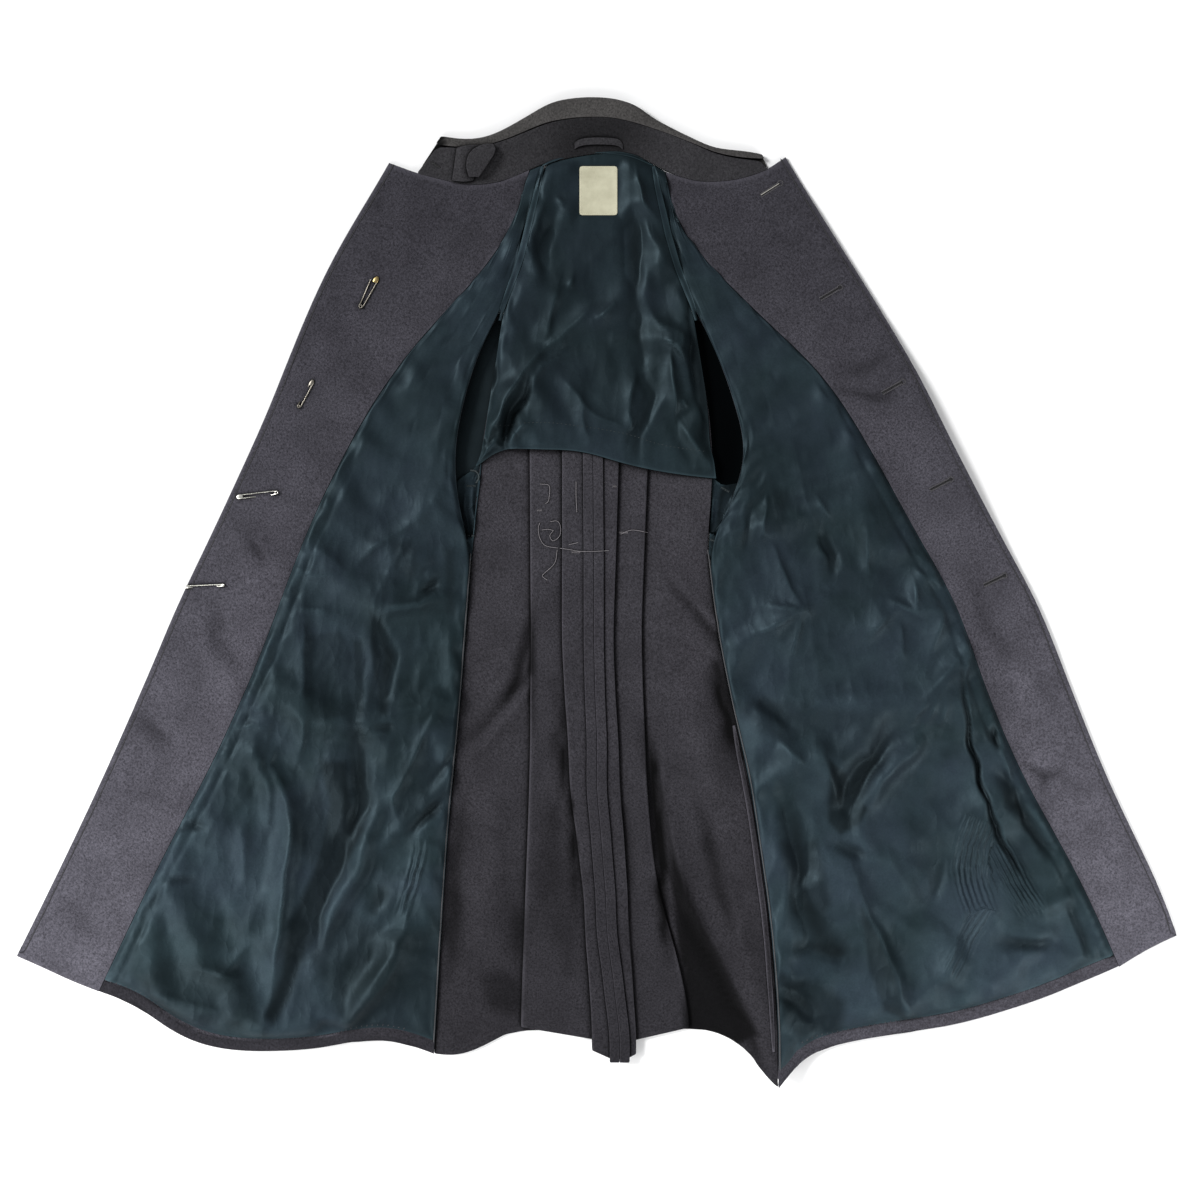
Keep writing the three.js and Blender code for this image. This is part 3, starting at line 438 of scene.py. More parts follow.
BACK_LINING_CREASES = creases(
    (((114, 330), (124, 270), (134, 215), (140, 168)), -8, 20, 9, S),
    (((-118, 330), (-126, 270), (-132, 215)), -6, 5, 12, S),
    (((-47, 367), (-54, 336), (-65, 299)), 4, 5, 12, K),
    (((-9, 342), (-54, 299), (-73, 283), (-103, 242), (-123, 195)), 5, 9, 6, K),
    (((26, 351), (7, 331), (-4, 326)), 3.5, 8, 4, K),
    (((-23, 288), (-41, 282), (-63, 272), (-73, 256), (-81, 238)), 4, 8, 5, K),
    (((-36, 306), (-47, 290)), 3, 4, 5, K),
    (((34, 471), (46, 437), (47, 389), (48, 351), (52, 299), (56, 256)), -5, 9, 11, S),
    (((60, 351), (75, 328), (102, 306), (107, 290)), 4, 6, 12, K),
    (((79, 305), (102, 293), (112, 283)), 5, 8, 4, K),
    (((91, 288), (91, 262), (93, 231), (97, 209)), 6, 4, 16, K),
    (((99, 231), (109, 220)), 3, 4, 5, K),
    (((101, 206), (123, 174), (138, 154)), 3.5, 5, 8, K),
    (((48, 262), (43, 235), (40, 215), (45, 193)), 4, 5, 9, K),
    (((57, 256), (68, 235), (59, 211), (48, 190), (45, 156)), -5, 7, 8, S),
    (((-41, 256), (-15, 222), (36, 193)), 3, 5, 7, K),
    (((-15, 222), (-14, 195), (-10, 183)), 3, 5, 6, K),
    (((-92, 256), (-108, 233), (-118, 206), (-152, 161)), 7, 9, 12, S),
    (((-121, 195), (-145, 167)), -4, 4, 5, S),
    (((-79, 251), (-102, 215), (-115, 172)), -5, 6, 8, S),
    (((-81, 204), (-88, 201), (-108, 179)), 3.5, 5, 6, K),
    (((-63, 476), (-80, 431), (-82, 399)), 5, 6, 8, S),
    (((-43, 476), (-65, 412), (-63, 378)), -3, 7, 8, S),
    (((-49, 478), (-38, 466)), 3, 5, 5, K),
    (((46, 503), (57, 468), (73, 450)), 4, 5, 8, K),
    (((68, 427), (82, 372)), 5, 16, 10, S),
    (((-31, 381), (-36, 367)), 2.5, 4, 5, K),
)


# Seams and edges that stitches follow, from the collar towards the hem
FRONT_EDGES = {
    Side.RIGHT: (
        (-253, 521), (-334, 376), (-398, 217), (-451, 101), (-500, 1),
        (-544, -98), (-603, -232), (-666, -364), (-706, -445),
    ),
    Side.LEFT: (
        (230, 528), (281, 444), (331, 365), (390, 264), (432, 178), (491, 67),
        (536, -15), (574, -110), (624, -234), (690, -373), (706, -420),
    ),
}
FACING_SEAMS = {
    Side.RIGHT: (
        (-82, 512), (-100, 447), (-143, 383), (-225, 293), (-278, 216), (-332, 113),
        (-374, 13), (-413, -92), (-469, -212), (-534, -337), (-606, -488),
    ),
    Side.LEFT: (
        (84, 510), (98, 440), (134, 399), (203, 329), (275, 260), (324, 185), (390, 65),
        (434, -12), (469, -110), (515, -218), (589, -354), (636, -458),
    ),
}
HEMS = {
    Side.RIGHT: (
        (-706, -445), (-640, -475), (-606, -488), (-561, -503), (-525, -530), (-486, -552),
        (-436, -561), (-378, -560), (-323, -556), (-289, -546), (-246, -545), (-198, -564),
    ),
    Side.LEFT: (
        (706, -420), (660, -443), (636, -458), (594, -475), (554, -493), (469, -520),
        (422, -533), (375, -536), (297, -551), (258, -561), (243, -572), (220, -600),
    ),
}

NECK_SEAM = ((-66, 517), (-42, 527.5), (-20, 532.5), (2, 534), (24, 532.5), (46, 527.5), (70, 517))
SIDE_BAND = (
    (167, -165), (173, -200), (179, -230), (188, -280), (196, -340), (203, -395), (208, -450), (214, -560),
)
SHOULDER_SEAMS = {
    Side.RIGHT: ((-66, 516), (-78, 462), (-93, 402), (-113, 346), (-118, 326)),
    Side.LEFT: ((69, 516), (80, 462), (95, 402), (116, 346), (121, 326)),
}
SIDE_SEAMS = {
    Side.RIGHT: ((-152, 45), (-158, -33), (-168, -157), (-181, -292), (-190, -428), (-198, -564)),
    Side.LEFT: (
        (134, 49), (146, -41), (164, -135), (185, -226), (199, -317), (212, -415), (219, -512), (220, -600),
    ),
}
SEAM_ENDS = {
    Side.RIGHT: ((-191, -440), (-195, -510), (-198.5, -562)),
    Side.LEFT: ((214, -500), (218.3, -550), (221.4, -574), (221.8, -598)),
}


@dataclass(frozen=True)
class Puckers:
    """A bundle of fine pulled folds side by side.

    Attributes:
        path: points of the middle fold, in millimetres.
        half_width: half the width of the bundle.
        pitch: spacing of the folds.
    """

    path: Path2
    half_width: float
    pitch: float

    def measure(self, places: Array) -> tuple[Array, Array]:
        """Turn of the fold wave and strength of the bundle at each place.

        Args:
            places: array of x and y, in millimetres.

        Returns:
            Turn in radians, and strength from 0 to 1.
        """
        away, side, share = measure_line(smooth_line(self.path, 6), places)
        signed = np.where(side > 0, away, -away)
        strength = np.exp(-((away / self.half_width) ** 4)) * np.sin(np.pi * np.clip(share, 0, 1)) ** 0.5
        return signed * 2 * math.pi / self.pitch, strength


LEFT_PUCKERS = (
    Puckers(((468, -276), (457, -309), (454, -346), (461, -373), (470, -402)), 21, 6.6),
    Puckers(((482, -308), (508, -356), (534, -400)), 16, 5.4),
    Puckers(((477, -380), (455, -416), (426, -470)), 12, 7.5),
)
RIGHT_PUCKERS = (Puckers(((-212, -300), (-222, -350), (-240, -402)), 9, 8.5),)


@dataclass(frozen=True)
class Shade:
    """A deep place in the cloth where little light comes, darkened with painted shade.

    Attributes:
        outline: points around it, in millimetres.
        depth: how dark its painted shade is, from 0 to 1.
        soft: half-width of its border.
    """

    outline: Path2
    depth: float
    soft: float

    def measure(self, places: Array) -> Array:
        """Painted shade at each place, from 0 to 1.

        Args:
            places: array of x and y, in millimetres.

        Returns:
            Array of values.
        """
        line = np.array((*self.outline, self.outline[0]), float)
        away = measure_line(line, places)[0]
        inside = np.zeros(len(places), bool)
        for (x0, y0), (x1, y1) in zip(line, line[1:]):
            crossed = (y0 > places[:, 1]) != (y1 > places[:, 1])
            edge = x0 + (x1 - x0) * (places[:, 1] - y0) / ((y1 - y0) or 1)
            inside ^= crossed & (places[:, 0] < edge)
        return self.depth * eased(np.where(inside, away, -away), -self.soft, self.soft)


# Places in the skirt and the linings darkened with painted shade: valleys between pleats and folds, and
# cloth under a fold
SKIRT_SHADES = (
    Shade(
        ((66, -168), (80, -240), (95, -322), (119, -380), (141, -425), (168, -481), (196, -540),
         (150, -566), (106, -560), (106, -483), (96, -415), (91, -363), (84, -288)), 0.93, 5,
    ),
    Shade(((-140, -470), (-118, -462), (-94, -474), (-88, -505), (-104, -520), (-134, -508)), 0.6, 10),
    Shade(
        ((-73, -10), (-81, -60), (-84, -98), (-79, -104), (-79, -150), (-76, -230), (-73, -230)), 0.85, 2.5,
    ),
    Shade(((30, -262), (38, -262), (47, -350), (40, -372)), 0.5, 5),
    Shade(((138, -88), (150, -84), (172, -150), (186, -206), (172, -214), (158, -168)), 0.85, 6),
    Shade(((-58, -250), (-46, -262), (-36, -400), (-34, -470), (-52, -420)), 0.5, 7),
)


RIGHT_SHADES = (
    Shade(
        ((-337, -207), (-303, -207), (-296, -257), (-282, -290), (-303, -332), (-337, -382), (-353, -439),
         (-374, -498), (-391, -527), (-403, -515), (-382, -465), (-374, -406), (-345, -344), (-324, -257)),
        0.9, 6,
    ),
    Shade(((-353, -439), (-312, -390), (-254, -415), (-196, -406), (-196, -545), (-300, -540)), 0.6, 12),
    Shade(((-528, -444), (-428, -456), (-403, -527), (-465, -531), (-528, -515), (-557, -481)), 0.55, 10),
    Shade(((-237, -207), (-184, -207), (-181, -253), (-229, -299), (-241, -257)), 0.4, 8),
    Shade(((-374, -257), (-337, -232), (-320, -311), (-345, -336), (-370, -299)), 0.6, 8),
    Shade(((-351, -55), (-310, -50), (-290, -90), (-288, -150), (-345, -158)), 0.4, 3),
    Shade(((-275, -25), (-262, -35), (-250, -60), (-252, -150), (-262, -150), (-275, -70)), 0.7, 4),
    Shade(((-296, -60), (-284, -60), (-280, -200), (-292, -200)), 0.6, 4),
    Shade(((-245, 55), (-225, 62), (-215, 30), (-225, 10), (-245, 25)), 0.4, 5),
    Shade(((-184, 50), (-172, 50), (-172, -30), (-182, -28)), 0.5, 5),
)
LEFT_SHADES = (
    Shade(((281, -205), (302, -222), (329, -266), (319, -283), (296, -298), (281, -281)), 0.85, 4),
    Shade(((223, -304), (267, -304), (285, -381), (267, -415), (237, -392)), 0.7, 7),
    Shade(((220, -462), (267, -473), (302, -498), (296, -538), (243, -544), (223, -515)), 0.75, 8),
    Shade(((319, -381), (337, -410), (361, -462), (375, -521), (348, -509), (331, -462)), 0.65, 4),
    Shade(((378, -281), (413, -275), (431, -327), (407, -351), (378, -327)), 0.3, 8),
    Shade(((162, -134), (260, -134), (267, -170), (237, -187), (197, -170)), 0.4, 6),
    Shade(((235, -140), (360, -150), (340, -200), (300, -215), (260, -180)), 0.4, 8),
    Shade(((215, 125), (232, 120), (225, 70), (205, 70)), 0.4, 6),
)
BACK_SHADES = (
    Shade(((-60, 540), (60, 540), (110, 330), (130, 200), (-130, 210), (-110, 330)), 0.28, 30),
)


def painted_shade(marks: Iterable[Crease], places: Array, shades: Iterable[Shade] = ()) -> Array:
    """Painted shade in the troughs among some creases and in the deep places, from 0 to 1."""
    troughs = [mark for mark in marks if mark.height < 0]
    depths = np.clip(-pressed(troughs, places) / DEEPEST_TROUGH, 0, 1)
    return np.max([depths, *(shade.measure(places) for shade in shades)], axis=0)


def coat_form(places: Array) -> Array:
    """Height that the wool of the whole coat has above its solids, never below zero.

    Args:
        places: array of x and y, in millimetres.

    Returns:
        Array of heights in millimetres; it dies out at the neck.
    """
    waves = 1.1 + 0.8 * ripple(places, 130, 11) + 0.45 * ripple(places, 55, 12)
    height = waves + pressed(WOOL_CREASES + SKIRT_CREASES, places)
    fade = 1 - eased(places[:, 1], *NECK_FADE)
    return np.maximum(height + WOOL_REST, 0) * fade


# Mesh work


def deselect_all() -> None:
    """Nothing stays selected."""
    for thing in bpy.context.selected_objects:
        thing.select_set(False)


def work_on(piece: Piece) -> None:
    """Makes the piece the only selected and the active one."""
    deselect_all()
    piece.select_set(True)
    bpy.context.view_layer.objects.active = piece


@contextmanager
def editing(piece: Piece) -> Iterator[None]:
    """Edit mode on one piece."""
    work_on(piece)
    bpy.ops.object.mode_set(mode="EDIT")
    yield
    bpy.ops.object.mode_set(mode="OBJECT")


def placed(name: str, data: bpy.types.ID) -> Piece:
    """A new object with some data, put in the scene."""
    thing = bpy.data.objects.new(name, data)
    bpy.context.scene.collection.objects.link(thing)
    return thing


def mesh_piece(name: str, points: Array, faces: Sequence[Sequence[int]]) -> Piece:
    """A piece made of points in millimetres and the faces between them."""
    mesh = bpy.data.meshes.new(name)
    mesh.from_pydata((points * MM).tolist(), [], faces)
    return placed(name, mesh)


def node_copy(node: str, kind: str = "cloth") -> Piece:
    """A piece with the merged mesh of one solid.

    Args:
        node: name of the solid.
        kind: what the name of the piece starts with.

    Returns:
        The new piece, with four-sided faces where the solid had pairs of triangles.
    """
    piece = placed(f"{kind}_{node}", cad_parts[node].data.copy())
    piece.data.name = piece.name
    piece.data.materials.clear()
    with editing(piece):
        bpy.ops.mesh.select_all(action="SELECT")
        bpy.ops.mesh.remove_doubles(threshold=1e-5)
        bpy.ops.mesh.tris_convert_to_quads(face_threshold=math.pi, shape_threshold=math.pi)
    return piece


def select_faces(piece: Piece, test: Callable[[bpy.types.MeshPolygon], bool]) -> None:
    """Selects the faces that pass a test and no others."""
    with editing(piece):
        bpy.ops.mesh.select_mode(type="FACE")
        bpy.ops.mesh.select_all(action="DESELECT")
    for face in piece.data.polygons:
        face.select = test(face)


def apply_modifier(piece: Piece, name: str, kind: str, **settings: object) -> None:
    """Adds a modifier with the given settings and applies it."""
    modifier = piece.modifiers.new(name, kind)
    for key, value in settings.items():
        setattr(modifier, key, value)
    work_on(piece)
    bpy.ops.object.modifier_apply(modifier=name)


def subdivide(piece: Piece, levels: int, plain: bool = False) -> None:
    """Divides every face, with rounding unless it is plain."""
    kind = "SIMPLE" if plain else "CATMULL_CLARK"
    apply_modifier(
        piece, "Subdivide", "SUBSURF", subdivision_type=kind, levels=levels, render_levels=levels,
        boundary_smooth="PRESERVE_CORNERS", use_limit_surface=False,
    )


def hold_folds(piece: Piece, angle: float) -> None:
    """Keeps edges that turn by more than an angle sharp while the piece is divided.

    Args:
        piece: the piece.
        angle: turn in degrees.
    """
    with editing(piece):
        bpy.ops.mesh.select_mode(type="EDGE")
        bpy.ops.mesh.select_all(action="DESELECT")
        bpy.ops.mesh.edges_select_sharp(sharpness=math.radians(angle))
        bpy.ops.transform.edge_crease(value=1)


def release_folds(piece: Piece) -> None:
    """Lets all edges be rounded again."""
    crease = piece.data.attributes.get("crease_edge")
    if crease is not None:
        piece.data.attributes.remove(crease)


def upper_sheet(node: str, levels: int) -> Piece:
    """The upper face of one solid as an open sheet, divided fine enough for its creases."""
    piece = node_copy(node)
    select_faces(piece, lambda face: face.normal.z < 0.2)
    with editing(piece):
        bpy.ops.mesh.delete(type="FACE")
    subdivide(piece, levels)
    return piece


def softened(node: str, angle: float = SHARP_FOLD, plain: int = 0) -> Piece:
    """A closed piece whose outline stays while its faces are rounded.

    Args:
        node: name of its solid.
        angle: edges that turn by more than this, in degrees, are held.
        plain: further divisions without rounding.

    Returns:
        The piece.
    """
    piece = node_copy(node)
    hold_folds(piece, angle)
    subdivide(piece, 1)
    release_folds(piece)
    if plain:
        subdivide(piece, plain, plain=True)
    subdivide(piece, 1)
    return piece


def wall(piece: Piece, thickness: float) -> None:
    """Gives an open sheet its thickness, downwards from the face that looks up.

    Args:
        piece: the sheet.
        thickness: in millimetres.
    """
    apply_modifier(
        piece, "Wall", "SOLIDIFY", thickness=thickness * MM, offset=-1, use_even_offset=False,
    )


def smooth_shade(piece: Piece, angle: float = 60) -> None:
    """Smooth shading, with edges sharper than an angle left as they are."""
    work_on(piece)
    bpy.ops.object.shade_smooth_by_angle(angle=math.radians(angle))


def read_points(piece: Piece) -> Array:
    """The points of a mesh, in millimetres."""
    flat = np.zeros(len(piece.data.vertices) * 3, np.float32)
    piece.data.vertices.foreach_get("co", flat)
    return flat.reshape(-1, 3).astype(float) / MM


def write_points(piece: Piece, points: Array) -> None:
    """Moves the points of a mesh to places given in millimetres."""
    piece.data.vertices.foreach_set("co", (points * MM).astype(np.float32).ravel())
    piece.data.update()


def write_values(piece: Piece, name: str, values: Array) -> None:
    """Stores one number for each point under a name that the finishes read."""
    attribute = piece.data.attributes.new(name, "FLOAT", "POINT")
    attribute.data.foreach_set("value", values.astype(np.float32))


def rim_distance(piece: Piece) -> Array:
    """Distance of each point from the open edge of a sheet, in millimetres."""
    mesh = bmesh.new()
    mesh.from_mesh(piece.data)
    rim = {vertex.index for edge in mesh.edges if edge.is_boundary for vertex in edge.verts}
    tree = KDTree(len(rim))
    points = [vertex.co.copy() for vertex in mesh.verts]
    for index in rim:
        tree.insert(points[index], index)
    tree.balance()
    mesh.free()
    return np.array([tree.find(point)[2] for point in points]) / MM


class Surface:
    """The top of some finished pieces, asked for its height from above."""

    def __init__(self, pieces: Sequence[Piece]) -> None:
        """Reads the meshes of the pieces."""
        vertices: list[Vector] = []
        faces: list[list[int]] = []
        for piece in pieces:
            start = len(vertices)
            vertices.extend(vertex.co.copy() for vertex in piece.data.vertices)
            faces.extend([start + index for index in face.vertices] for face in piece.data.polygons)
        self.tree = BVHTree.FromPolygons(vertices, faces)

    def height(self, x: float, y: float) -> float | None:
        """Height of the top at a place, in millimetres, or None outside the pieces."""
        place = self.tree.ray_cast(Vector((x * MM, y * MM, 0.2)), Vector((0, 0, -1)))[0]
        return None if place is None else place.z / MM

    def heights(self, places: Array) -> Array:
        """Height of the top at many places; just outside, that of the nearest edge."""
        found = np.zeros(len(places))
        for index, (x, y) in enumerate(places[:, :2]):
            top = self.height(x, y)
            if top is None:
                top = self.tree.find_nearest(Vector((x * MM, y * MM, 0.01)))[0].z / MM
            found[index] = top
        return found


def lifted(path: Sequence[Point], surface: Surface, above: float, step: float = 3) -> Array:
    """Points of a rounded line that lies on a surface.

    Args:
        path: the points that it goes through, in millimetres.
        surface: what it lies on.
        above: its height above that, in millimetres.
        step: spacing of the points.

    Returns:
        Array of x, y and z in millimetres.
    """
    line = smooth_line(path, step)
    return np.column_stack([line, surface.heights(line) + above])


def cord(name: str, routes: Sequence[Array], radius: float, sides: int = 1) -> Piece:
    """Round threads or wires along some routes, as one mesh.

    Args:
        name: name of the piece.
        routes: arrays of x, y and z in millimetres.
        radius: in millimetres.
        sides: fineness of the round section.

    Returns:
        The piece.
    """
    curve = bpy.data.curves.new(name, "CURVE")
    curve.dimensions = "3D"
    curve.bevel_depth = radius * MM
    curve.bevel_resolution = sides
    curve.use_fill_caps = True
    for route in routes:
        spline = curve.splines.new("POLY")
        spline.points.add(len(route) - 1)
        for point, place in zip(spline.points, route):
            point.co = (*(float(part) * MM for part in place), 1)
    work_on(placed(name, curve))
    bpy.ops.object.convert(target="MESH")
    return bpy.context.active_object


def strip(name: str, path: Sequence[Point], width: float, surface: Surface, rise: float) -> Piece:
    """A narrow band of cloth laid along a line.

    Args:
        name: name of the piece.
        path: its middle line, in millimetres.
        width: in millimetres.
        surface: what it lies on.
        rise: height of its middle above its edges.

    Returns:
        The band with its wall.
    """
    line = smooth_line(path, 4)
    shares = np.linspace(-0.5, 0.5, 5)
    taper = np.sin(np.pi * np.linspace(0.01, 0.99, len(line)))[:, None] ** 0.25
    rows = [line + taper * (shifted_line(line, share * width) - line) for share in shares]
    beds = np.array([surface.heights(row) for row in rows])
    beds = np.maximum(beds, beds.max(axis=0) - BAND_DIP)
    beds += rise * (1 - 4 * shares[:, None] ** 2) + 0.6
    points = np.vstack([np.column_stack([row, bed]) for row, bed in zip(rows, beds)])
    count = len(line)
    faces = [
        (start, start + 1, start + count + 1, start + count)
        for row in range(len(shares) - 1)
        for start in range(row * count, (row + 1) * count - 1)
    ]
    piece = mesh_piece(name, points, faces)
    wall(piece, SATIN_WALL)
    smooth_shade(piece)
    return piece


def joined(name: str, pieces: Sequence[Piece]) -> Piece:
    """Several pieces made one."""
    work_on(pieces[0])
    for piece in pieces:
        piece.select_set(True)
    bpy.ops.object.join()
    pieces[0].name = name
    pieces[0].data.name = name
    return pieces[0]


@dataclass(frozen=True)
class Stitch:
    """One short stitch with rounded ends, modelled once and copied along seams."""

    length: float
    width: float

    def model(self) -> Piece:
        """The stitch, lying along X at the origin."""
        deselect_all()
        bpy.ops.mesh.primitive_cylinder_add(
            vertices=5, radius=0.5 * self.width * MM, depth=0.6 * self.length * MM,
            rotation=(0, math.pi / 2, 0),
        )
        piece = bpy.context.active_object
        bpy.ops.object.transform_apply(location=False, rotation=True, scale=False)
        for end in (-1, 1):
            select_faces(piece, lambda face: face.normal.x * end > 0.9)
            shift = (end * 0.2 * self.length * MM, 0, -0.3 * self.width * MM)
            with editing(piece):
                bpy.ops.mesh.extrude_region_move(TRANSFORM_OT_translate={"value": shift})
                bpy.ops.transform.resize(value=(0.4, 0.4, 0.4))
        return piece

    def repeat(self, name: str, places: Sequence[StitchPlace]) -> Piece:
        """Copies of the stitch as one piece.

        Args:
            name: name of the piece.
            places: x, y, z in millimetres and the angle in radians for each copy.

        Returns:
            The piece, with its place in its mesh.
        """
        model = self.model()
        shape = read_points(model)
        faces = [list(face.vertices) for face in model.data.polygons]
        points, rings = [], []
        for number, (x, y, z, angle) in enumerate(places):
            turn = np.array([[math.cos(angle), -math.sin(angle)], [math.sin(angle), math.cos(angle)]])
            copy = np.column_stack([shape[:, :2] @ turn.T, shape[:, 2]]) + (x, y, z)
            points.append(copy)
            rings.extend([number * len(shape) + index for index in face] for face in faces)
        bpy.data.objects.remove(model)
        piece = mesh_piece(name, np.vstack(points), rings)
        smooth_shade(piece)
        return piece

    def along(
        self, name: str, path: Sequence[Point], pitch: float, surface: Surface, turn: float = 0,
    ) -> Piece:
        """A row of stitches on a surface.

        Args:
            name: name of the piece.
            path: line of the row, in millimetres.
            pitch: spacing.
            surface: what they are sewn through.
            turn: angle between stitch and line, in degrees.

        Returns:
            The row as one piece.
        """
        line = smooth_line(path, pitch)
        steps = np.gradient(line, axis=0)
        heights = surface.heights(line)
        angles = np.arctan2(steps[:, 1], steps[:, 0]) + math.radians(turn)
        return self.repeat(name, list(zip(line[:, 0], line[:, 1], heights + 0.1, angles)))


def enter(piece: Piece, slot: str, material: Material, *nodes: str) -> None:
    """Adds a finished piece to the coat.

    Args:
        piece: the piece.
        slot: material slot of the record; not used.
        material: its finish.
        nodes: the solids that it stands for.
    """
    if not piece.data.materials:
        piece.data.materials.append(material)
    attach(piece, "root")
    if nodes:
        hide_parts(*nodes)
    count = sum(len(face.vertices) - 2 for face in piece.data.polygons)
    LOG.info("%s: %d triangles", piece.name, count)


@dataclass(frozen=True)
class Settling:
    """Cloth simulation in which a loose lining crumples and comes to rest on the wool.

    Attributes:
        spare: share of cloth that the lining has beyond its place.
        steps: length of the simulation.
        clearance: room kept from the wool, in millimetres.
        weight: share of full gravity.
    """

    spare: float = 0.035
    steps: int = 26
    clearance: float = 0.6
    weight: float = 0.5

    def ground_copy(self, piece: Piece, ground: Array) -> Piece:
        """A still copy of the sheet at the height of the wool beneath it."""
        under = placed(f"{piece.name}_ground", piece.data.copy())
        points = read_points(piece)
        points[:, 2] = ground - 1
        write_points(under, points)
        under.modifiers.new("Collision", "COLLISION")
        under.collision.thickness_outer = self.clearance * MM
        under.collision.cloth_friction = 8
        return under

    def add_cloth(self, piece: Piece, group: str) -> None:
        """Gives the sheet its cloth settings, with the points of a group held."""
        cloth = piece.modifiers.new("Cloth", "CLOTH")
        settings = cloth.settings
        settings.quality = 5
        settings.mass = 0.15
        settings.tension_stiffness = settings.compression_stiffness = 15
        settings.shear_stiffness = 5
        settings.bending_stiffness = 3
        settings.bending_damping = 0.5
        settings.tension_damping = settings.compression_damping = 5
        settings.air_damping = 2
        settings.shrink_min = -self.spare
        settings.vertex_group_mass = group
        settings.effector_weights.gravity = self.weight
        cloth.collision_settings.distance_min = 0.8 * MM
        cloth.collision_settings.collision_quality = 2
        cloth.point_cache.frame_end = self.steps + 1

    def run(self, piece: Piece, ground: Array, sewn: Array) -> None:
        """Lets the sheet settle.

        Args:
            piece: open sheet.
            ground: height of the wool beneath each point, in millimetres.
            sewn: true for each point that a seam holds.
        """
        under = self.ground_copy(piece, ground)
        group = piece.vertex_groups.new(name="sewn")
        group.add([int(index) for index in np.flatnonzero(sewn)], 1.0, "REPLACE")
        self.add_cloth(piece, group.name)
        scene = bpy.context.scene
        for number in range(1, self.steps + 1):
            scene.frame_set(number)
        work_on(piece)
        bpy.ops.object.modifier_apply(modifier="Cloth")
        scene.frame_set(1)
        piece.vertex_groups.clear()
        bpy.data.objects.remove(under)


# Finishes


def times(colour: Colour, share: float) -> Colour:
    """A colour made darker or lighter."""
    return tuple(part * share for part in colour)


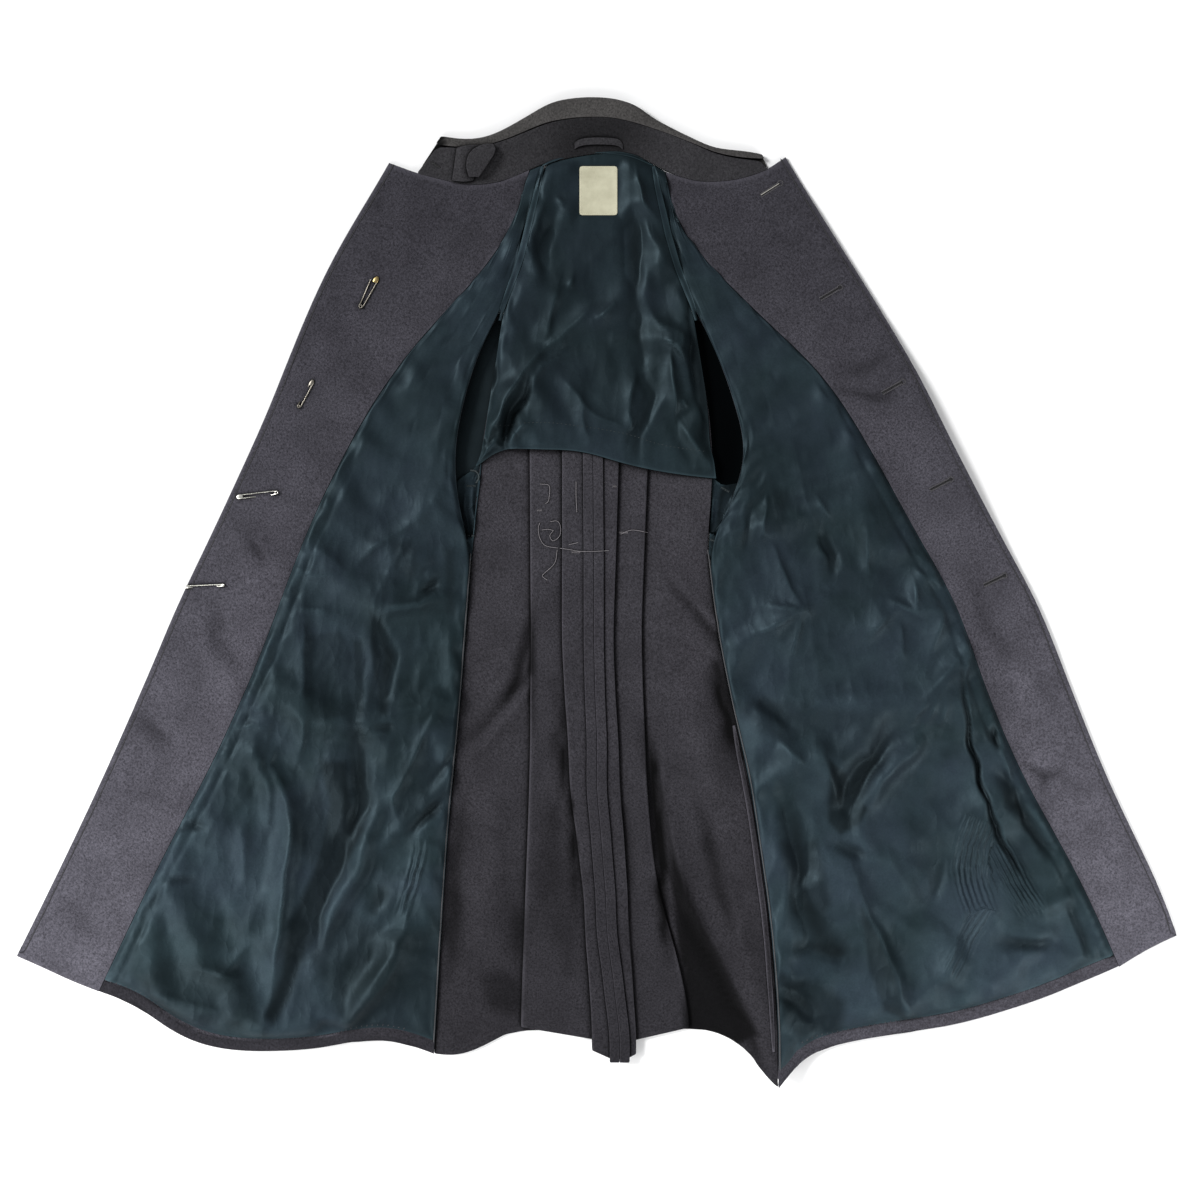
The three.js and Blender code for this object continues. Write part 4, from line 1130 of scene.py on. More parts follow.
class FinishBench:
    """Adds and joins the nodes of one material."""

    def __init__(self, name: str) -> None:
        """Starts a material with its shader."""
        self.material = bpy.data.materials.new(name)
        self.material.use_nodes = True
        self.nodes = self.material.node_tree.nodes
        self.links = self.material.node_tree.links
        self.shader = self.nodes["Principled BSDF"]
        self.place = self.nodes.new("ShaderNodeTexCoord").outputs["Object"]

    def feed(self, socket: Socket, source: object) -> None:
        """Joins a socket to another one, or sets it to a plain value."""
        if isinstance(source, Socket):
            self.links.new(source, socket)
        else:
            socket.default_value = source

    def set(self, **values: object) -> None:
        """Feeds sockets of the shader; an underscore stands for a space."""
        for key, value in values.items():
            self.feed(self.shader.inputs[key.replace("_", " ")], value)

    def node(self, kind: str, **values: object) -> bpy.types.Node:
        """A new node with some sockets fed; an underscore stands for a space."""
        node = self.nodes.new(f"ShaderNode{kind}")
        for key, value in values.items():
            self.feed(node.inputs[key.replace("_", " ")], value)
        return node

    def maths(self, operation: str, *parts: object, kind: str = "Math") -> Socket:
        """Result of a plain operation on values or numbers, or on vectors."""
        node = self.node(kind)
        node.operation = operation
        for socket, part in zip(node.inputs, parts):
            self.feed(socket, part)
        return node.outputs[0]

    def stretched(self, scale: Place, turn: float = 0) -> Socket:
        """The place with its axes scaled, and turned about Z by an angle in degrees."""
        node = self.node("Mapping", Scale=scale, Rotation=(0, 0, math.radians(turn)), Vector=self.place)
        return node.outputs["Vector"]

    def noise(
        self, size: float, detail: float = 3, roughness: float = 0.55, distortion: float = 0,
        place: Socket | None = None,
    ) -> Socket:
        """Cloudy values with lumps of a size in millimetres."""
        node = self.node(
            "TexNoise", Scale=1000 / size, Detail=detail, Roughness=roughness, Distortion=distortion,
            Vector=place or self.place,
        )
        return node.outputs["Fac"]

    def dishes(self, size: float) -> Socket:
        """Shallow dishes of a size in millimetres that meet in keen lines, longer along Y."""
        cloud = self.node("TexNoise", Scale=600 / size, Vector=self.place).outputs["Color"]
        reach, long = (size * MM,) * 3, self.stretched((1, 0.5, 0.3))
        waver = self.maths("MULTIPLY_ADD", cloud, reach, long, kind="VectorMath")
        node = self.node("TexVoronoi", Scale=1000 / size, Vector=waver)
        return self.maths("POWER", node.outputs["Distance"], 2)

    def ribs(self, size: float, direction: str, turn: float = 0) -> Socket:
        """Straight ribs of a size in millimetres, across X or Y."""
        scale = 1000 / size / RIB_WAVE
        node = self.node("TexWave", Scale=scale, Distortion=0, Vector=self.stretched((1, 1, 1), turn))
        node.bands_direction = direction
        return node.outputs["Fac"]

    def value(self, name: str) -> Socket:
        """The number that a piece stores for each point under a name."""
        node = self.node("Attribute")
        node.attribute_name = name
        return node.outputs["Fac"]

    def edges(self) -> Socket:
        """How far the surface bulges out at each point, about one half where it is flat."""
        return self.node("NewGeometry").outputs["Pointiness"]

    def openness(self, reach: float) -> Socket:
        """How open each point is to its surroundings within a reach in millimetres, from 0 to 1."""
        node = self.node("AmbientOcclusion", Distance=reach * MM)
        node.samples = 6
        return node.outputs["AO"]

    def height_on_page(self) -> Socket:
        """Y of each point in millimetres."""
        return self.maths("MULTIPLY", self.node("SeparateXYZ", Vector=self.place).outputs["Y"], 1000)

    def scaled(self, source: Socket, share: Socket) -> Socket:
        """A colour times a value."""
        node = self.node("VectorMath")
        node.operation = "SCALE"
        self.feed(node.inputs[0], source)
        self.feed(node.inputs["Scale"], share)
        return node.outputs[0]

    def ranged(
        self, source: Socket, low: float, high: float, to_low: float = 0, to_high: float = 1,
    ) -> Socket:
        """Values between low and high spread between two others."""
        node = self.node(
            "MapRange", Value=source, From_Min=low, From_Max=high, To_Min=to_low, To_Max=to_high,
        )
        return node.outputs["Result"]

    def blend(self, share: Socket, first: Socket | Colour, second: Socket | Colour) -> Socket:
        """Mixes two colours by a share."""
        node = self.nodes.new("ShaderNodeMix")
        node.data_type = "RGBA"
        self.feed(node.inputs["Factor"], share)
        for socket, colour in ((node.inputs[6], first), (node.inputs[7], second)):
            self.feed(socket, colour if isinstance(colour, Socket) else (*colour, 1))
        return node.outputs[2]

    def partly(self, share: Socket, most: float, first: Socket | Colour, second: Socket | Colour) -> Socket:
        """Mixes two colours by a share that reaches a most."""
        return self.blend(self.ranged(share, 0, 1, 0, most), first, second)

    def added(self, first: Socket, second: Socket, share: float) -> Socket:
        """First value plus a share of the second."""
        return self.maths("MULTIPLY_ADD", second, share, first)

    def relief(self, height: Socket, depth: float, strength: float = 1) -> None:
        """Bump of a depth in millimetres, added to any before it."""
        node = self.node("Bump", Strength=strength, Distance=depth * MM, Height=height)
        normal = self.shader.inputs["Normal"]
        if normal.is_linked:
            self.links.new(normal.links[0].from_socket, node.inputs["Normal"])
        self.links.new(node.outputs["Normal"], normal)

    def colour(self, source: Socket) -> Material:
        """Joins the colour and gives the finished material."""
        self.links.new(source, self.shader.inputs["Base Color"])
        return self.material


@dataclass(frozen=True)
class WoolFinish:
    """Milled melton wool: dark and light fibres in fine specks, paler along convex fold edges, with painted
    shade in crevices and hollows.

    Attributes:
        base: middle colour.
        spread: share by which the specks are darker or lighter.
        crevice: reach of the painted shade in crevices, in millimetres.
        fade: share by which painted light makes it paler at the hem than at the collar; below zero, painted
            shade makes it darker there.
        nap: strength of the fine bump.
    """

    name: str
    base: Colour
    spread: float = 0.5
    crevice: float = 9
    fade: float = 0
    nap: float = 0.8

    def build(self) -> Material:
        """The material."""
        bench = FinishBench(self.name)
        dark, light = times(self.base, 1 - self.spread), times(self.base, 1 + 1.35 * self.spread)
        specks = bench.ranged(bench.noise(2.5, 3, 0.75), 0.36, 0.66)
        fibres = bench.ranged(bench.noise(1.3, 2, 0.7, place=bench.stretched((1, 0.5, 1), 30)), 0.34, 0.7)
        cloud = bench.ranged(bench.noise(46, 3), 0.34, 0.68)
        ground = bench.blend(specks, dark, light)
        ground = bench.partly(fibres, 0.45, ground, light)
        ground = bench.blend(bench.ranged(cloud, 0, 1, 0.34, 0), ground, dark)
        # Painted light: paler towards the hem, or darker with painted shade where the share is below zero
        ground = bench.scaled(ground, bench.ranged(bench.height_on_page(), 450, -450, 1, 1 + self.fade))
        # Paler along convex edges, where the surface bulges out
        pale_crests = bench.ranged(bench.edges(), 0.52, 0.61, 0, 0.7)
        ground = bench.blend(pale_crests, ground, times(self.base, 2.5))
        # Painted shade: crevices go near black where they are closed in
        crevice = bench.ranged(bench.openness(self.crevice), 0.55, 0.97, 0.9, 0)
        ground = bench.blend(crevice, ground, (0.002, 0.002, 0.002))
        # Painted shade: thin dark lines at the foot of small steps, such as pleat edges
        line = bench.ranged(bench.openness(5), 0.6, 0.9, 0.97, 0)
        ground = bench.blend(line, ground, (0.001, 0.001, 0.001))
        # Painted shade from the piece's hollow value
        ground = bench.partly(bench.value("hollow"), 0.97, ground, (0.001, 0.001, 0.001))
        bench.set(
            Roughness=0.95, Specular_IOR_Level=0.05, Sheen_Weight=0.03, Sheen_Roughness=0.6,
            Sheen_Tint=(0.7, 0.68, 0.76, 1),
        )
        bench.relief(bench.noise(14, 3), 0.9, 0.4)
        bench.relief(bench.added(specks, fibres, 0.5), 0.4, self.nap)
        return bench.colour(ground)


@dataclass(frozen=True)
class SatinFinish:
    """Dark lining satin, soft in gloss, with patches worn to teal and slate.

    Attributes:
        base: colour in the shade.
        blue: slate patches.
        green: faded patches.
        roughness: least and most.
        gloss: strength of the shine.
    """

    name: str
    base: Colour
    blue: Colour
    green: Colour
    roughness: tuple[float, float] = (0.46, 0.6)
    gloss: float = 0.2

    def fold_wave(self, bench: FinishBench) -> Socket:
        """Fine pulled folds from the turn and strength that a piece stores, from 0 to 1."""
        turn = bench.added(bench.value("pucker_turn"), bench.noise(22, 2), 5)
        wave = bench.maths("MULTIPLY_ADD", bench.maths("SINE", turn), 0.5, 0.5)
        return bench.maths("MULTIPLY", wave, bench.value("pucker"))

    def build(self) -> Material:
        """The material."""
        bench = FinishBench(self.name)
        patches = bench.ranged(bench.noise(130, 3, 0.5, 0.4), 0.38, 0.62)
        faded = bench.ranged(bench.noise(48, 4, 0.55, 0.3), 0.38, 0.72)
        grain = bench.ranged(bench.noise(2.2, 2, 0.6), 0.3, 0.7)
        weave = bench.added(bench.ribs(0.55, "X"), bench.ribs(0.7, "Y"), 0.6)
        ground = bench.blend(patches, self.base, self.blue)
        ground = bench.partly(faded, 0.45, ground, self.green)
        ground = bench.blend(bench.ranged(grain, 0, 1, 0.35, 0), ground, self.base)
        # Painted light: the satin grows paler towards the hem
        ground = bench.scaled(ground, bench.ranged(bench.height_on_page(), 0, -450, 1, 1.45))
        folds = self.fold_wave(bench)
        # Painted shade for the troughs of the pulled folds
        ground = bench.blend(bench.ranged(folds, -0.45, 0, 0.9, 0), ground, (0.002, 0.004, 0.005))
        # Paler along convex crests, where the surface bulges out
        pale_crests = bench.ranged(bench.edges(), 0.51, 0.6, 0, 0.5)
        ground = bench.blend(pale_crests, ground, times(self.green, 1.7))
        # Painted shade: crevices within a wide reach go near black
        crevice = bench.ranged(bench.openness(20), 0.5, 0.98, 0.9, 0)
        ground = bench.blend(crevice, ground, (0.001, 0.0015, 0.0017))
        # Painted shade from the piece's hollow value
        ground = bench.partly(bench.value("hollow"), 0.92, ground, (0.0006, 0.001, 0.0012))
        bench.set(
            Roughness=bench.ranged(bench.noise(18, 3), 0.3, 0.7, *self.roughness),
            Specular_IOR_Level=self.gloss, Specular_Tint=(0.56, 0.80, 0.92, 1),
            Sheen_Weight=0.15 * self.gloss, Sheen_Roughness=0.4, Sheen_Tint=(0.5, 0.7, 0.78, 1),
        )
        crumpled = bench.value("crumpled")
        bench.relief(bench.maths("MULTIPLY", bench.dishes(13), crumpled), 1.5, 0.45)
        bench.relief(bench.maths("MULTIPLY", bench.dishes(31), crumpled), 3.2, 0.35)
        bench.relief(folds, 2.4, 0.9)
        bench.relief(bench.noise(6, 3, 0.5, 0.5), 0.25, 0.3)
        bench.relief(weave, 0.05, 0.3)
        return bench.colour(ground)


@dataclass(frozen=True)
class ThreadFinish:
    """Sewing thread or tape, with a fine twist."""

    name: str
    base: Colour
    light: Colour
    size: float = 0.8

    def build(self) -> Material:
        """The material."""
        bench = FinishBench(self.name)
        twist = bench.added(bench.ribs(self.size, "X", 40), bench.noise(self.size * 2), 0.5)
        patch = bench.ranged(bench.noise(14, 3), 0.3, 0.7)
        ground = bench.blend(bench.ranged(twist, 0.2, 1.2, 0, 0.6), self.base, self.light)
        ground = bench.partly(patch, 0.3, ground, self.light)
        bench.set(Roughness=0.7, Specular_IOR_Level=0.3, Sheen_Weight=0.15)
        bench.relief(twist, 0.15, 0.6)
        return bench.colour(ground)


@dataclass(frozen=True)
class LabelFinish:
    """Cream woven tape, a little grubby, with a blank face."""

    name: str
    base: Colour
    grime: Colour

    def build(self) -> Material:
        """The material."""
        bench = FinishBench(self.name)
        weave = bench.added(bench.ribs(0.5, "X"), bench.ribs(0.5, "Y"), 1)
        grime = bench.ranged(bench.noise(16, 4, 0.6), 0.35, 0.75)
        ground = bench.partly(grime, 0.75, self.base, self.grime)
        bench.set(Roughness=0.62, Specular_IOR_Level=0.4)
        bench.relief(weave, 0.08, 0.5)
        bench.relief(bench.noise(12, 2), 0.5, 0.3)
        return bench.colour(ground)


@dataclass(frozen=True)
class MetalFinish:
    """Small metal fittings, dulled by use."""

    name: str
    base: Colour
    tarnish: Colour
    roughness: tuple[float, float]

    def build(self) -> Material:
        """The material."""
        bench = FinishBench(self.name)
        spots = bench.ranged(bench.noise(3, 4, 0.65), 0.42, 0.7)
        wear = bench.noise(0.8, 3)
        ground = bench.partly(spots, 0.6, self.base, self.tarnish)
        bench.set(Metallic=1.0, Roughness=bench.ranged(wear, 0.3, 0.7, *self.roughness))
        bench.relief(wear, 0.04, 0.4)
        return bench.colour(ground)


@dataclass(frozen=True)
class FloorFinish:
    """Plain pale ground."""

    name: str = "pale_floor"
    base: Colour = (0.9, 0.9, 0.9)

    def build(self) -> Material:
        """The material."""
        bench = FinishBench(self.name)
        cloud = bench.ranged(bench.noise(400, 2), 0.3, 0.7)
        bench.set(Roughness=0.8, Specular_IOR_Level=0.2)
        return bench.colour(bench.blend(cloud, self.base, times(self.base, 0.98)))


class Finishes:
    """Every finish of the coat, made once."""

    def __init__(self) -> None:
        """Makes the materials."""
        # The melton is made paler towards the hem with painted light
        self.wool = WoolFinish("melton_wool", (0.0312, 0.0300, 0.0364), 0.6, fade=1.2).build()
        # The skirt's wool is darkened towards the hem with painted shade, and its painted crevice shade
        # reaches 20 mm
        self.skirt = WoolFinish("skirt_wool", (0.0380, 0.0364, 0.0428), 0.58, 20, -0.5).build()
        self.fall = WoolFinish("fall_wool", (0.0500, 0.0478, 0.0465)).build()
        self.stand = WoolFinish("stand_wool", (0.0265, 0.0258, 0.0282), 0.5).build()
        self.satin = SatinFinish(
            "lining_satin", (0.0045, 0.0084, 0.0099), (0.0121, 0.0178, 0.0250), (0.0200, 0.0335, 0.0394),
        ).build()
        self.sleeve_satin = SatinFinish(
            "sleeve_satin", (0.0060, 0.0090, 0.0105), (0.0090, 0.0125, 0.0150), (0.0130, 0.0190, 0.0220),
            (0.6, 0.7),
        ).build()
        # Near-black lining for inside the left sleeve: painted shade in its armhole
        self.sleeve_lining = SatinFinish(
            "sleeve_lining", (0.0004, 0.0005, 0.0006), (0.0005, 0.0006, 0.0008), (0.0008, 0.0010, 0.0012),
            (0.8, 0.9), 0.02,
        ).build()
        self.thread = ThreadFinish("wool_thread", (0.036, 0.032, 0.038), (0.07, 0.064, 0.072)).build()
        self.edge_thread = ThreadFinish("turned_edge", (0.030, 0.031, 0.034), (0.066, 0.067, 0.072)).build()
        self.cream_thread = ThreadFinish("cream_thread", (0.34, 0.33, 0.30), (0.5, 0.48, 0.44)).build()
        self.label_thread = ThreadFinish("label_thread", (0.50, 0.48, 0.36), (0.66, 0.63, 0.49)).build()
        self.dull_steel = MetalFinish(
            "old_steel", (0.30, 0.28, 0.24), (0.12, 0.10, 0.08), (0.35, 0.5),
        ).build()
        self.pale_thread = ThreadFinish("tacking_thread", (0.12, 0.112, 0.12), (0.22, 0.205, 0.22)).build()
        self.hole_thread = ThreadFinish(
            "buttonhole_thread", (0.040, 0.038, 0.043), (0.10, 0.096, 0.104),
        ).build()
        self.tape = ThreadFinish("side_tape", (0.011, 0.018, 0.020), (0.030, 0.042, 0.045), 0.6).build()
        # Near-black finish for the buttonhole slits and the slit in the stand: painted shadow in the
        # openings
        self.slit = ThreadFinish("dark_slit", (0.0015, 0.0015, 0.0018), (0.003, 0.003, 0.0035)).build()
        # Near-black finish for the cord in the stitched groove along each front edge: painted shadow
        self.groove = ThreadFinish("edge_groove", (0.009, 0.009, 0.0105), (0.020, 0.0195, 0.022)).build()
        self.label = LabelFinish("label_tape", (0.48, 0.465, 0.34), (0.33, 0.315, 0.22)).build()
        self.steel = MetalFinish("dull_steel", (0.80, 0.79, 0.73), (0.46, 0.43, 0.36), (0.24, 0.4)).build()
        self.brass = MetalFinish("dull_brass", (0.50, 0.38, 0.17), (0.22, 0.16, 0.08), (0.30, 0.48)).build()
        self.floor = FloorFinish().build()


# Cloth parts


@dataclass
class Lining:
    """One loose satin lining, settled on the wool and then creased.

    Attributes:
        node: name of its solid.
        marks: its main creases.
        puckers: its bundles of fine pulled folds.
        seed: number that fixes its small crumples.
        seam: seam along which a puckered band runs, if there is one.
        loose_below: Y below which its edge isn't sewn, in millimetres.
        lean: how far its long folds slant, as a share of their length.
        calm_top: Y above which it lies smooth, and Y below which it is fully crumpled.
        least_loose: share of the small crumples that is left at the top.
        large: size and height of its large dishes.
        small: size and height of its small dishes.
        fine: size and height of its fine crumples.
        shades: its deep places, darkened with painted shade.
    """

    node: str
    marks: tuple[Crease, ...]
    puckers: tuple[Puckers, ...]
    seed: int
    seam: Path2 | None = None
    loose_below: float = -2000
    loft: float = 2.5
    margin: float = 26
    ruffle_width: float = 15
    ruffle_pitch: float = 12.5
    ruffle_start: float = 0.42
    lean: float = 0
    calm_top: Point = (200, 50)
    least_loose: float = 0.28
    large: Point = (58, 3.0)
    small: Point = (23, 2.1)
    fine: Point = (15, 0.5)
    shades: tuple[Shade, ...] = ()
    settling: Settling = Settling()

    def sewn_share(self, piece: Piece, reach: float) -> Array:
        """How free each point is of the seams, from 0 at them to 1 at a reach in millimetres."""
        places = read_points(piece)[:, :2]
        loose = 1 - eased(places[:, 1], self.loose_below - 8, self.loose_below + 25)
        return np.maximum(eased(rim_distance(piece), 0, reach), 0.5 * loose)

    def looseness(self, places: Array) -> Array:
        """Share of the small crumples that each place has; least at the top."""
        top, bottom = self.calm_top
        return self.least_loose + (1 - self.least_loose) * eased(-places[:, 1], -top, -bottom)

    def settle(self, piece: Piece) -> None:
        """Raises the sheet in its main creases and lets it come to rest."""
        points = read_points(piece)
        places = points[:, :2]
        ground = points[:, 2] + coat_form(places)
        near = self.sewn_share(piece, SEAM_REACH)
        rise = self.loft * self.sewn_share(piece, self.margin)
        swell = 2 * self.looseness(places) * crumple(places, 90, self.seed + 5)
        rise += near * (0.7 * pressed(self.marks, places) + swell)
        points[:, 2] = ground + np.maximum(rise, 0)
        write_points(piece, points)
        sewn = (rim_distance(piece) < 0.5) & (places[:, 1] > self.loose_below)
        self.settling.run(piece, ground, sewn)

    def crease(self, piece: Piece, bed: Surface) -> None:
        """Presses the fine creases into the settled sheet and stores what its finish reads."""
        points = read_points(piece)
        places = points[:, :2]
        ground = bed.heights(points) + coat_form(places)
        from_label = np.abs(places - LABEL_PLACE) - 0.5 * np.array(LABEL_SIZE)
        calm = eased(from_label.max(axis=1), -2, 16)
        near = calm * self.sewn_share(piece, SEAM_REACH)
        loose = near * self.looseness(places)
        busy = 0.55 + 0.45 * ripple(places, 120, self.seed)
        settled = np.maximum(points[:, 2] - ground, 0)
        rise = calm * settled + (1 - calm) * np.minimum(settled, 1.5)
        along = np.column_stack([places[:, 0] - self.lean * places[:, 1], 0.5 * places[:, 1]])
        rise += 1.25 * near * pressed(self.marks, places)
        size, height = self.large
        rise += loose * (1.2 + busy) * height * (facets(along, size, self.seed + 20) - 0.15)
        size, height = self.small
        rise += loose * busy * height * facets(along, size, self.seed + 30)
        size, height = self.fine
        rise += loose * busy * height * crumple(places, size, self.seed + 40)
        if self.seam:
            rise += self.ruffle(places)
        height = np.maximum(rise, 0) + ground
        over = np.maximum(height - HIGHEST + HEIGHT_BEND, 0)
        points[:, 2] = height - over + HEIGHT_BEND * np.tanh(over / HEIGHT_BEND)
        write_points(piece, points)
        # The hollow value is painted shade from the troughs and the listed places; the satin's colour is
        # darkened with it
        write_values(piece, "hollow", painted_shade(self.marks, places, self.shades))
        write_values(piece, "crumpled", loose)
        self.store_puckers(piece, places)

    def store_puckers(self, piece: Piece, places: Array) -> None:
        """Stores the turn and strength of the strongest bundle at each point."""
        turn, strength = np.zeros(len(places)), np.zeros(len(places))
        for bundle in self.puckers:
            new_turn, new_strength = bundle.measure(places)
            better = new_strength > strength
            turn = np.where(better, new_turn, turn)
            strength = np.where(better, new_strength, strength)
        write_values(piece, "pucker_turn", turn)
        write_values(piece, "pucker", strength)

    def ruffle(self, places: Array) -> Array:
        """Puckered satin band that runs inside the facing seam below the waist."""
        away, _, share = measure_line(smooth_line(self.seam, 10), places)
        travelled = share * 1100
        waver = ripple(np.stack([travelled, np.zeros_like(travelled)], axis=1), 24, self.seed + 40)
        folds = np.sin(2 * math.pi * (travelled / self.ruffle_pitch + 0.9 * waver))
        rise = np.exp(-(((away - 0.4 * self.ruffle_width) / (0.36 * self.ruffle_width)) ** 2))
        dip = np.exp(-(((away - 1.15 * self.ruffle_width) / 3.5) ** 2))
        strength = 0.55 + 0.45 * waver
        gathered = eased(share, self.ruffle_start - 0.08, self.ruffle_start + 0.08)
        return gathered * (rise * (1.7 + 0.9 * folds * strength) - 1.8 * dip)

    def build(self) -> Piece:
        """The finished sheet."""
        piece = upper_sheet(self.node, 2)
        bed = Surface([piece])
        self.settle(piece)
        subdivide(piece, 2)
        self.crease(piece, bed)
        wall(piece, SATIN_WALL)
        smooth_shade(piece)
        return piece


@dataclass
class Front:
    """One front of the coat: wool shell, wool facing along the edge and satin lining.

    Attributes:
        side: the wearer's side.
        marks: creases of the lining.
        puckers: bundles of pulled folds in it.
        shades: deep places in it, darkened with painted shade.
        seed: number that fixes its small crumples.
        hem_shade: how dark the painted shade on the turned-up hem is, from 0 to 1.
    """

    side: Side
    marks: tuple[Crease, ...]
    puckers: tuple[Puckers, ...]
    shades: tuple[Shade, ...]
    seed: int
    hem_shade: float
    hem_band: float = 15
    hem_rise: float = 1.7
    hem_roll: float = 1.3
    stitch_line: float = 6.5
    groove_depth: float = 0.8
    groove_width: float = 1.6
    edge_roll: float = 1.2
    sheets: list[Piece] = field(default_factory=list)

    def build_shell(self) -> Piece:
        """The wool shell, thicker along the hem where it is turned up."""
        piece = upper_sheet(f"front_{self.side.label}", 3)
        points = read_points(piece)
        places = points[:, :2]
        points[:, 2] += coat_form(places)
        away = measure_line(smooth_line(HEMS[self.side], 12), places)[0]
        band = 1 - eased(away, self.hem_band - 2, self.hem_band + 1.5)
        points[:, 2] += self.hem_rise * band
        points[:, 2] -= self.hem_roll * (1 - eased(away, 0, 3))
        write_points(piece, points)
        # The turned-up hem band is darkened with painted shade, stored as its hollow value
        write_values(piece, "hollow", self.hem_shade * band)
        wall(piece, WOOL_WALL)
        return piece

    def build_facing(self) -> Piece:
        """The wool facing, rolled down a little along the front edge."""
        piece = upper_sheet(f"facing_{self.side.label}", 3)
        points = read_points(piece)
        places = points[:, :2]
        edge = measure_line(smooth_line(FRONT_EDGES[self.side], 12), places)[0]
        hem = measure_line(smooth_line(HEMS[self.side], 12), places)[0]
        points[:, 2] += coat_form(places)
        points[:, 2] -= self.groove_depth * np.exp(-(((edge - self.stitch_line) / self.groove_width) ** 2))
        points[:, 2] -= self.edge_roll * (1 - eased(np.minimum(edge, hem), 0, 4))
        write_points(piece, points)
        # Painted shade in the troughs of the wool creases, stored as the facing's hollow value
        write_values(piece, "hollow", 0.6 * painted_shade(WOOL_CREASES, places))
        wall(piece, WOOL_WALL)
        return piece

    def build(self, finishes: Finishes) -> None:
        """Makes and dresses the three layers."""
        shell, facing = self.build_shell(), self.build_facing()
        node = f"front_lining_{self.side.label}"
        seam = FACING_SEAMS[self.side]
        lean = -0.22 * self.side.value
        lining = Lining(
            node, self.marks, self.puckers, self.seed, seam, lean=lean, shades=self.shades,
        ).build()
        self.sheets = [shell, facing, lining]
        smooth_shade(shell)
        smooth_shade(facing)
        enter(shell, "wool", finishes.wool, f"front_{self.side.label}")
        enter(facing, "wool", finishes.wool, f"facing_{self.side.label}")
        enter(lining, "satin", finishes.satin, node)


@dataclass
class Back:
    """The back: wool body, half lining with a loose lower edge, and the pleated skirt."""

    body_share: float = 0.4
    layers_height: float = 11
    pleat_waver: float = 2.4
    sheets: list[Piece] = field(default_factory=list)

    def build_body(self) -> Piece:
        """The wool body, hidden beneath its lining but for the armholes."""
        piece = upper_sheet("back_body", 3)
        points = read_points(piece)
        points[:, 2] += self.body_share * coat_form(points[:, :2])
        write_points(piece, points)
        wall(piece, WOOL_WALL)
        return piece

    def build_skirt(self, side: Side) -> Piece:
        """Half of the skirt, one folded wall with its pleat layers."""
        piece = softened(f"back_skirt_{side.label}", plain=1)
        points = read_points(piece)
        places = points[:, :2].copy()
        layer = np.clip(points[:, 2] / self.layers_height, 0, 1)
        down = eased(-places[:, 1], -200, 500)
        waver = ripple(np.stack([points[:, 2] * 12, places[:, 1]], axis=1), 60, 71)
        points[:, 0] += layer * down * self.pleat_waver * waver
        points[:, 2] += np.where(points[:, 2] > 0.8, 1, 0.0) * coat_form(places)
        write_points(piece, points)
        # Painted shade in the skirt's crease troughs and between its pleats, stored as its hollow value
        write_values(piece, "hollow", painted_shade(SKIRT_CREASES, places, SKIRT_SHADES))
        return piece

    def build(self, finishes: Finishes) -> None:
        """Makes and dresses the back."""
        body = self.build_body()
        lining = Lining(
            "back_lining", BACK_LINING_CREASES, (), 700, loose_below=178, loft=3, calm_top=(600, -100),
            shades=BACK_SHADES,
        ).build()
        skirts = [self.build_skirt(side) for side in Side]
        self.sheets = [body, lining, *skirts]
        for piece in (body, *skirts):
            smooth_shade(piece)
        enter(body, "wool", finishes.wool, "back_body")
        enter(lining, "satin", finishes.satin, "back_lining")
        for side, skirt in zip(Side, skirts):
            enter(skirt, "wool", finishes.skirt, f"back_skirt_{side.label}")


@dataclass
class Sleeves:
    """Both sleeves, flat beneath the fronts, with dark lining inside; inside the left sleeve it is near
    black, painted shade.
    """

    hollow: float = 14
    lower_wall: float = 3.2
    sheets: list[Piece] = field(default_factory=list)

    def line_inside(self, piece: Piece) -> None:
        """Gives the faces that look across the hollow the second finish."""
        mesh = piece.data
        tree = BVHTree.FromPolygons(
            [vertex.co for vertex in mesh.vertices], [face.vertices[:] for face in mesh.polygons],
        )
        for face in mesh.polygons:
            start = face.center + face.normal * 0.2 * MM
            hit = tree.ray_cast(start, face.normal, self.hollow * MM)[0]
            inner = hit is not None or (face.normal.z > 0 and face.center.z < self.lower_wall * MM)
            face.material_index = int(inner)

    def build_one(self, side: Side, finishes: Finishes) -> Piece:
        """One sleeve."""
        piece = softened(f"sleeve_{side.label}", 70)
        piece.data.materials.append(finishes.wool)
        # Inside the left sleeve the lining is painted near black, as shade
        inner = finishes.sleeve_satin if side is Side.RIGHT else finishes.sleeve_lining
        piece.data.materials.append(inner)
        self.line_inside(piece)
        points = read_points(piece)
        swell = 0.5 * ripple(points[:, :2], 60, 81) * np.clip(points[:, 2] - 2, 0, 2)
        points[:, 2] += np.clip(swell, -0.8, 0.4)
        write_points(piece, points)
        smooth_shade(piece)
        return piece

    def build(self, finishes: Finishes) -> None:
        """Makes and dresses both sleeves."""
        for side in Side:
            piece = self.build_one(side, finishes)
            enter(piece, "wool", finishes.wool, f"sleeve_{side.label}")
            self.sheets.append(piece)


# Painted shade on the collar: darker in the middle of the stand under the fall, and a painted shadow at the
# fall's end on the wearer's right
COLLAR_SHADES = {
    "collar_stand": (Shade(((-62, 600), (62, 600), (50, 500), (-50, 500)), 0.6, 45),),
    "collar_fall": (Shade(((-188, 562), (-226, 506), (-194, 500), (-184, 548)), 0.97, 2.5),),
}


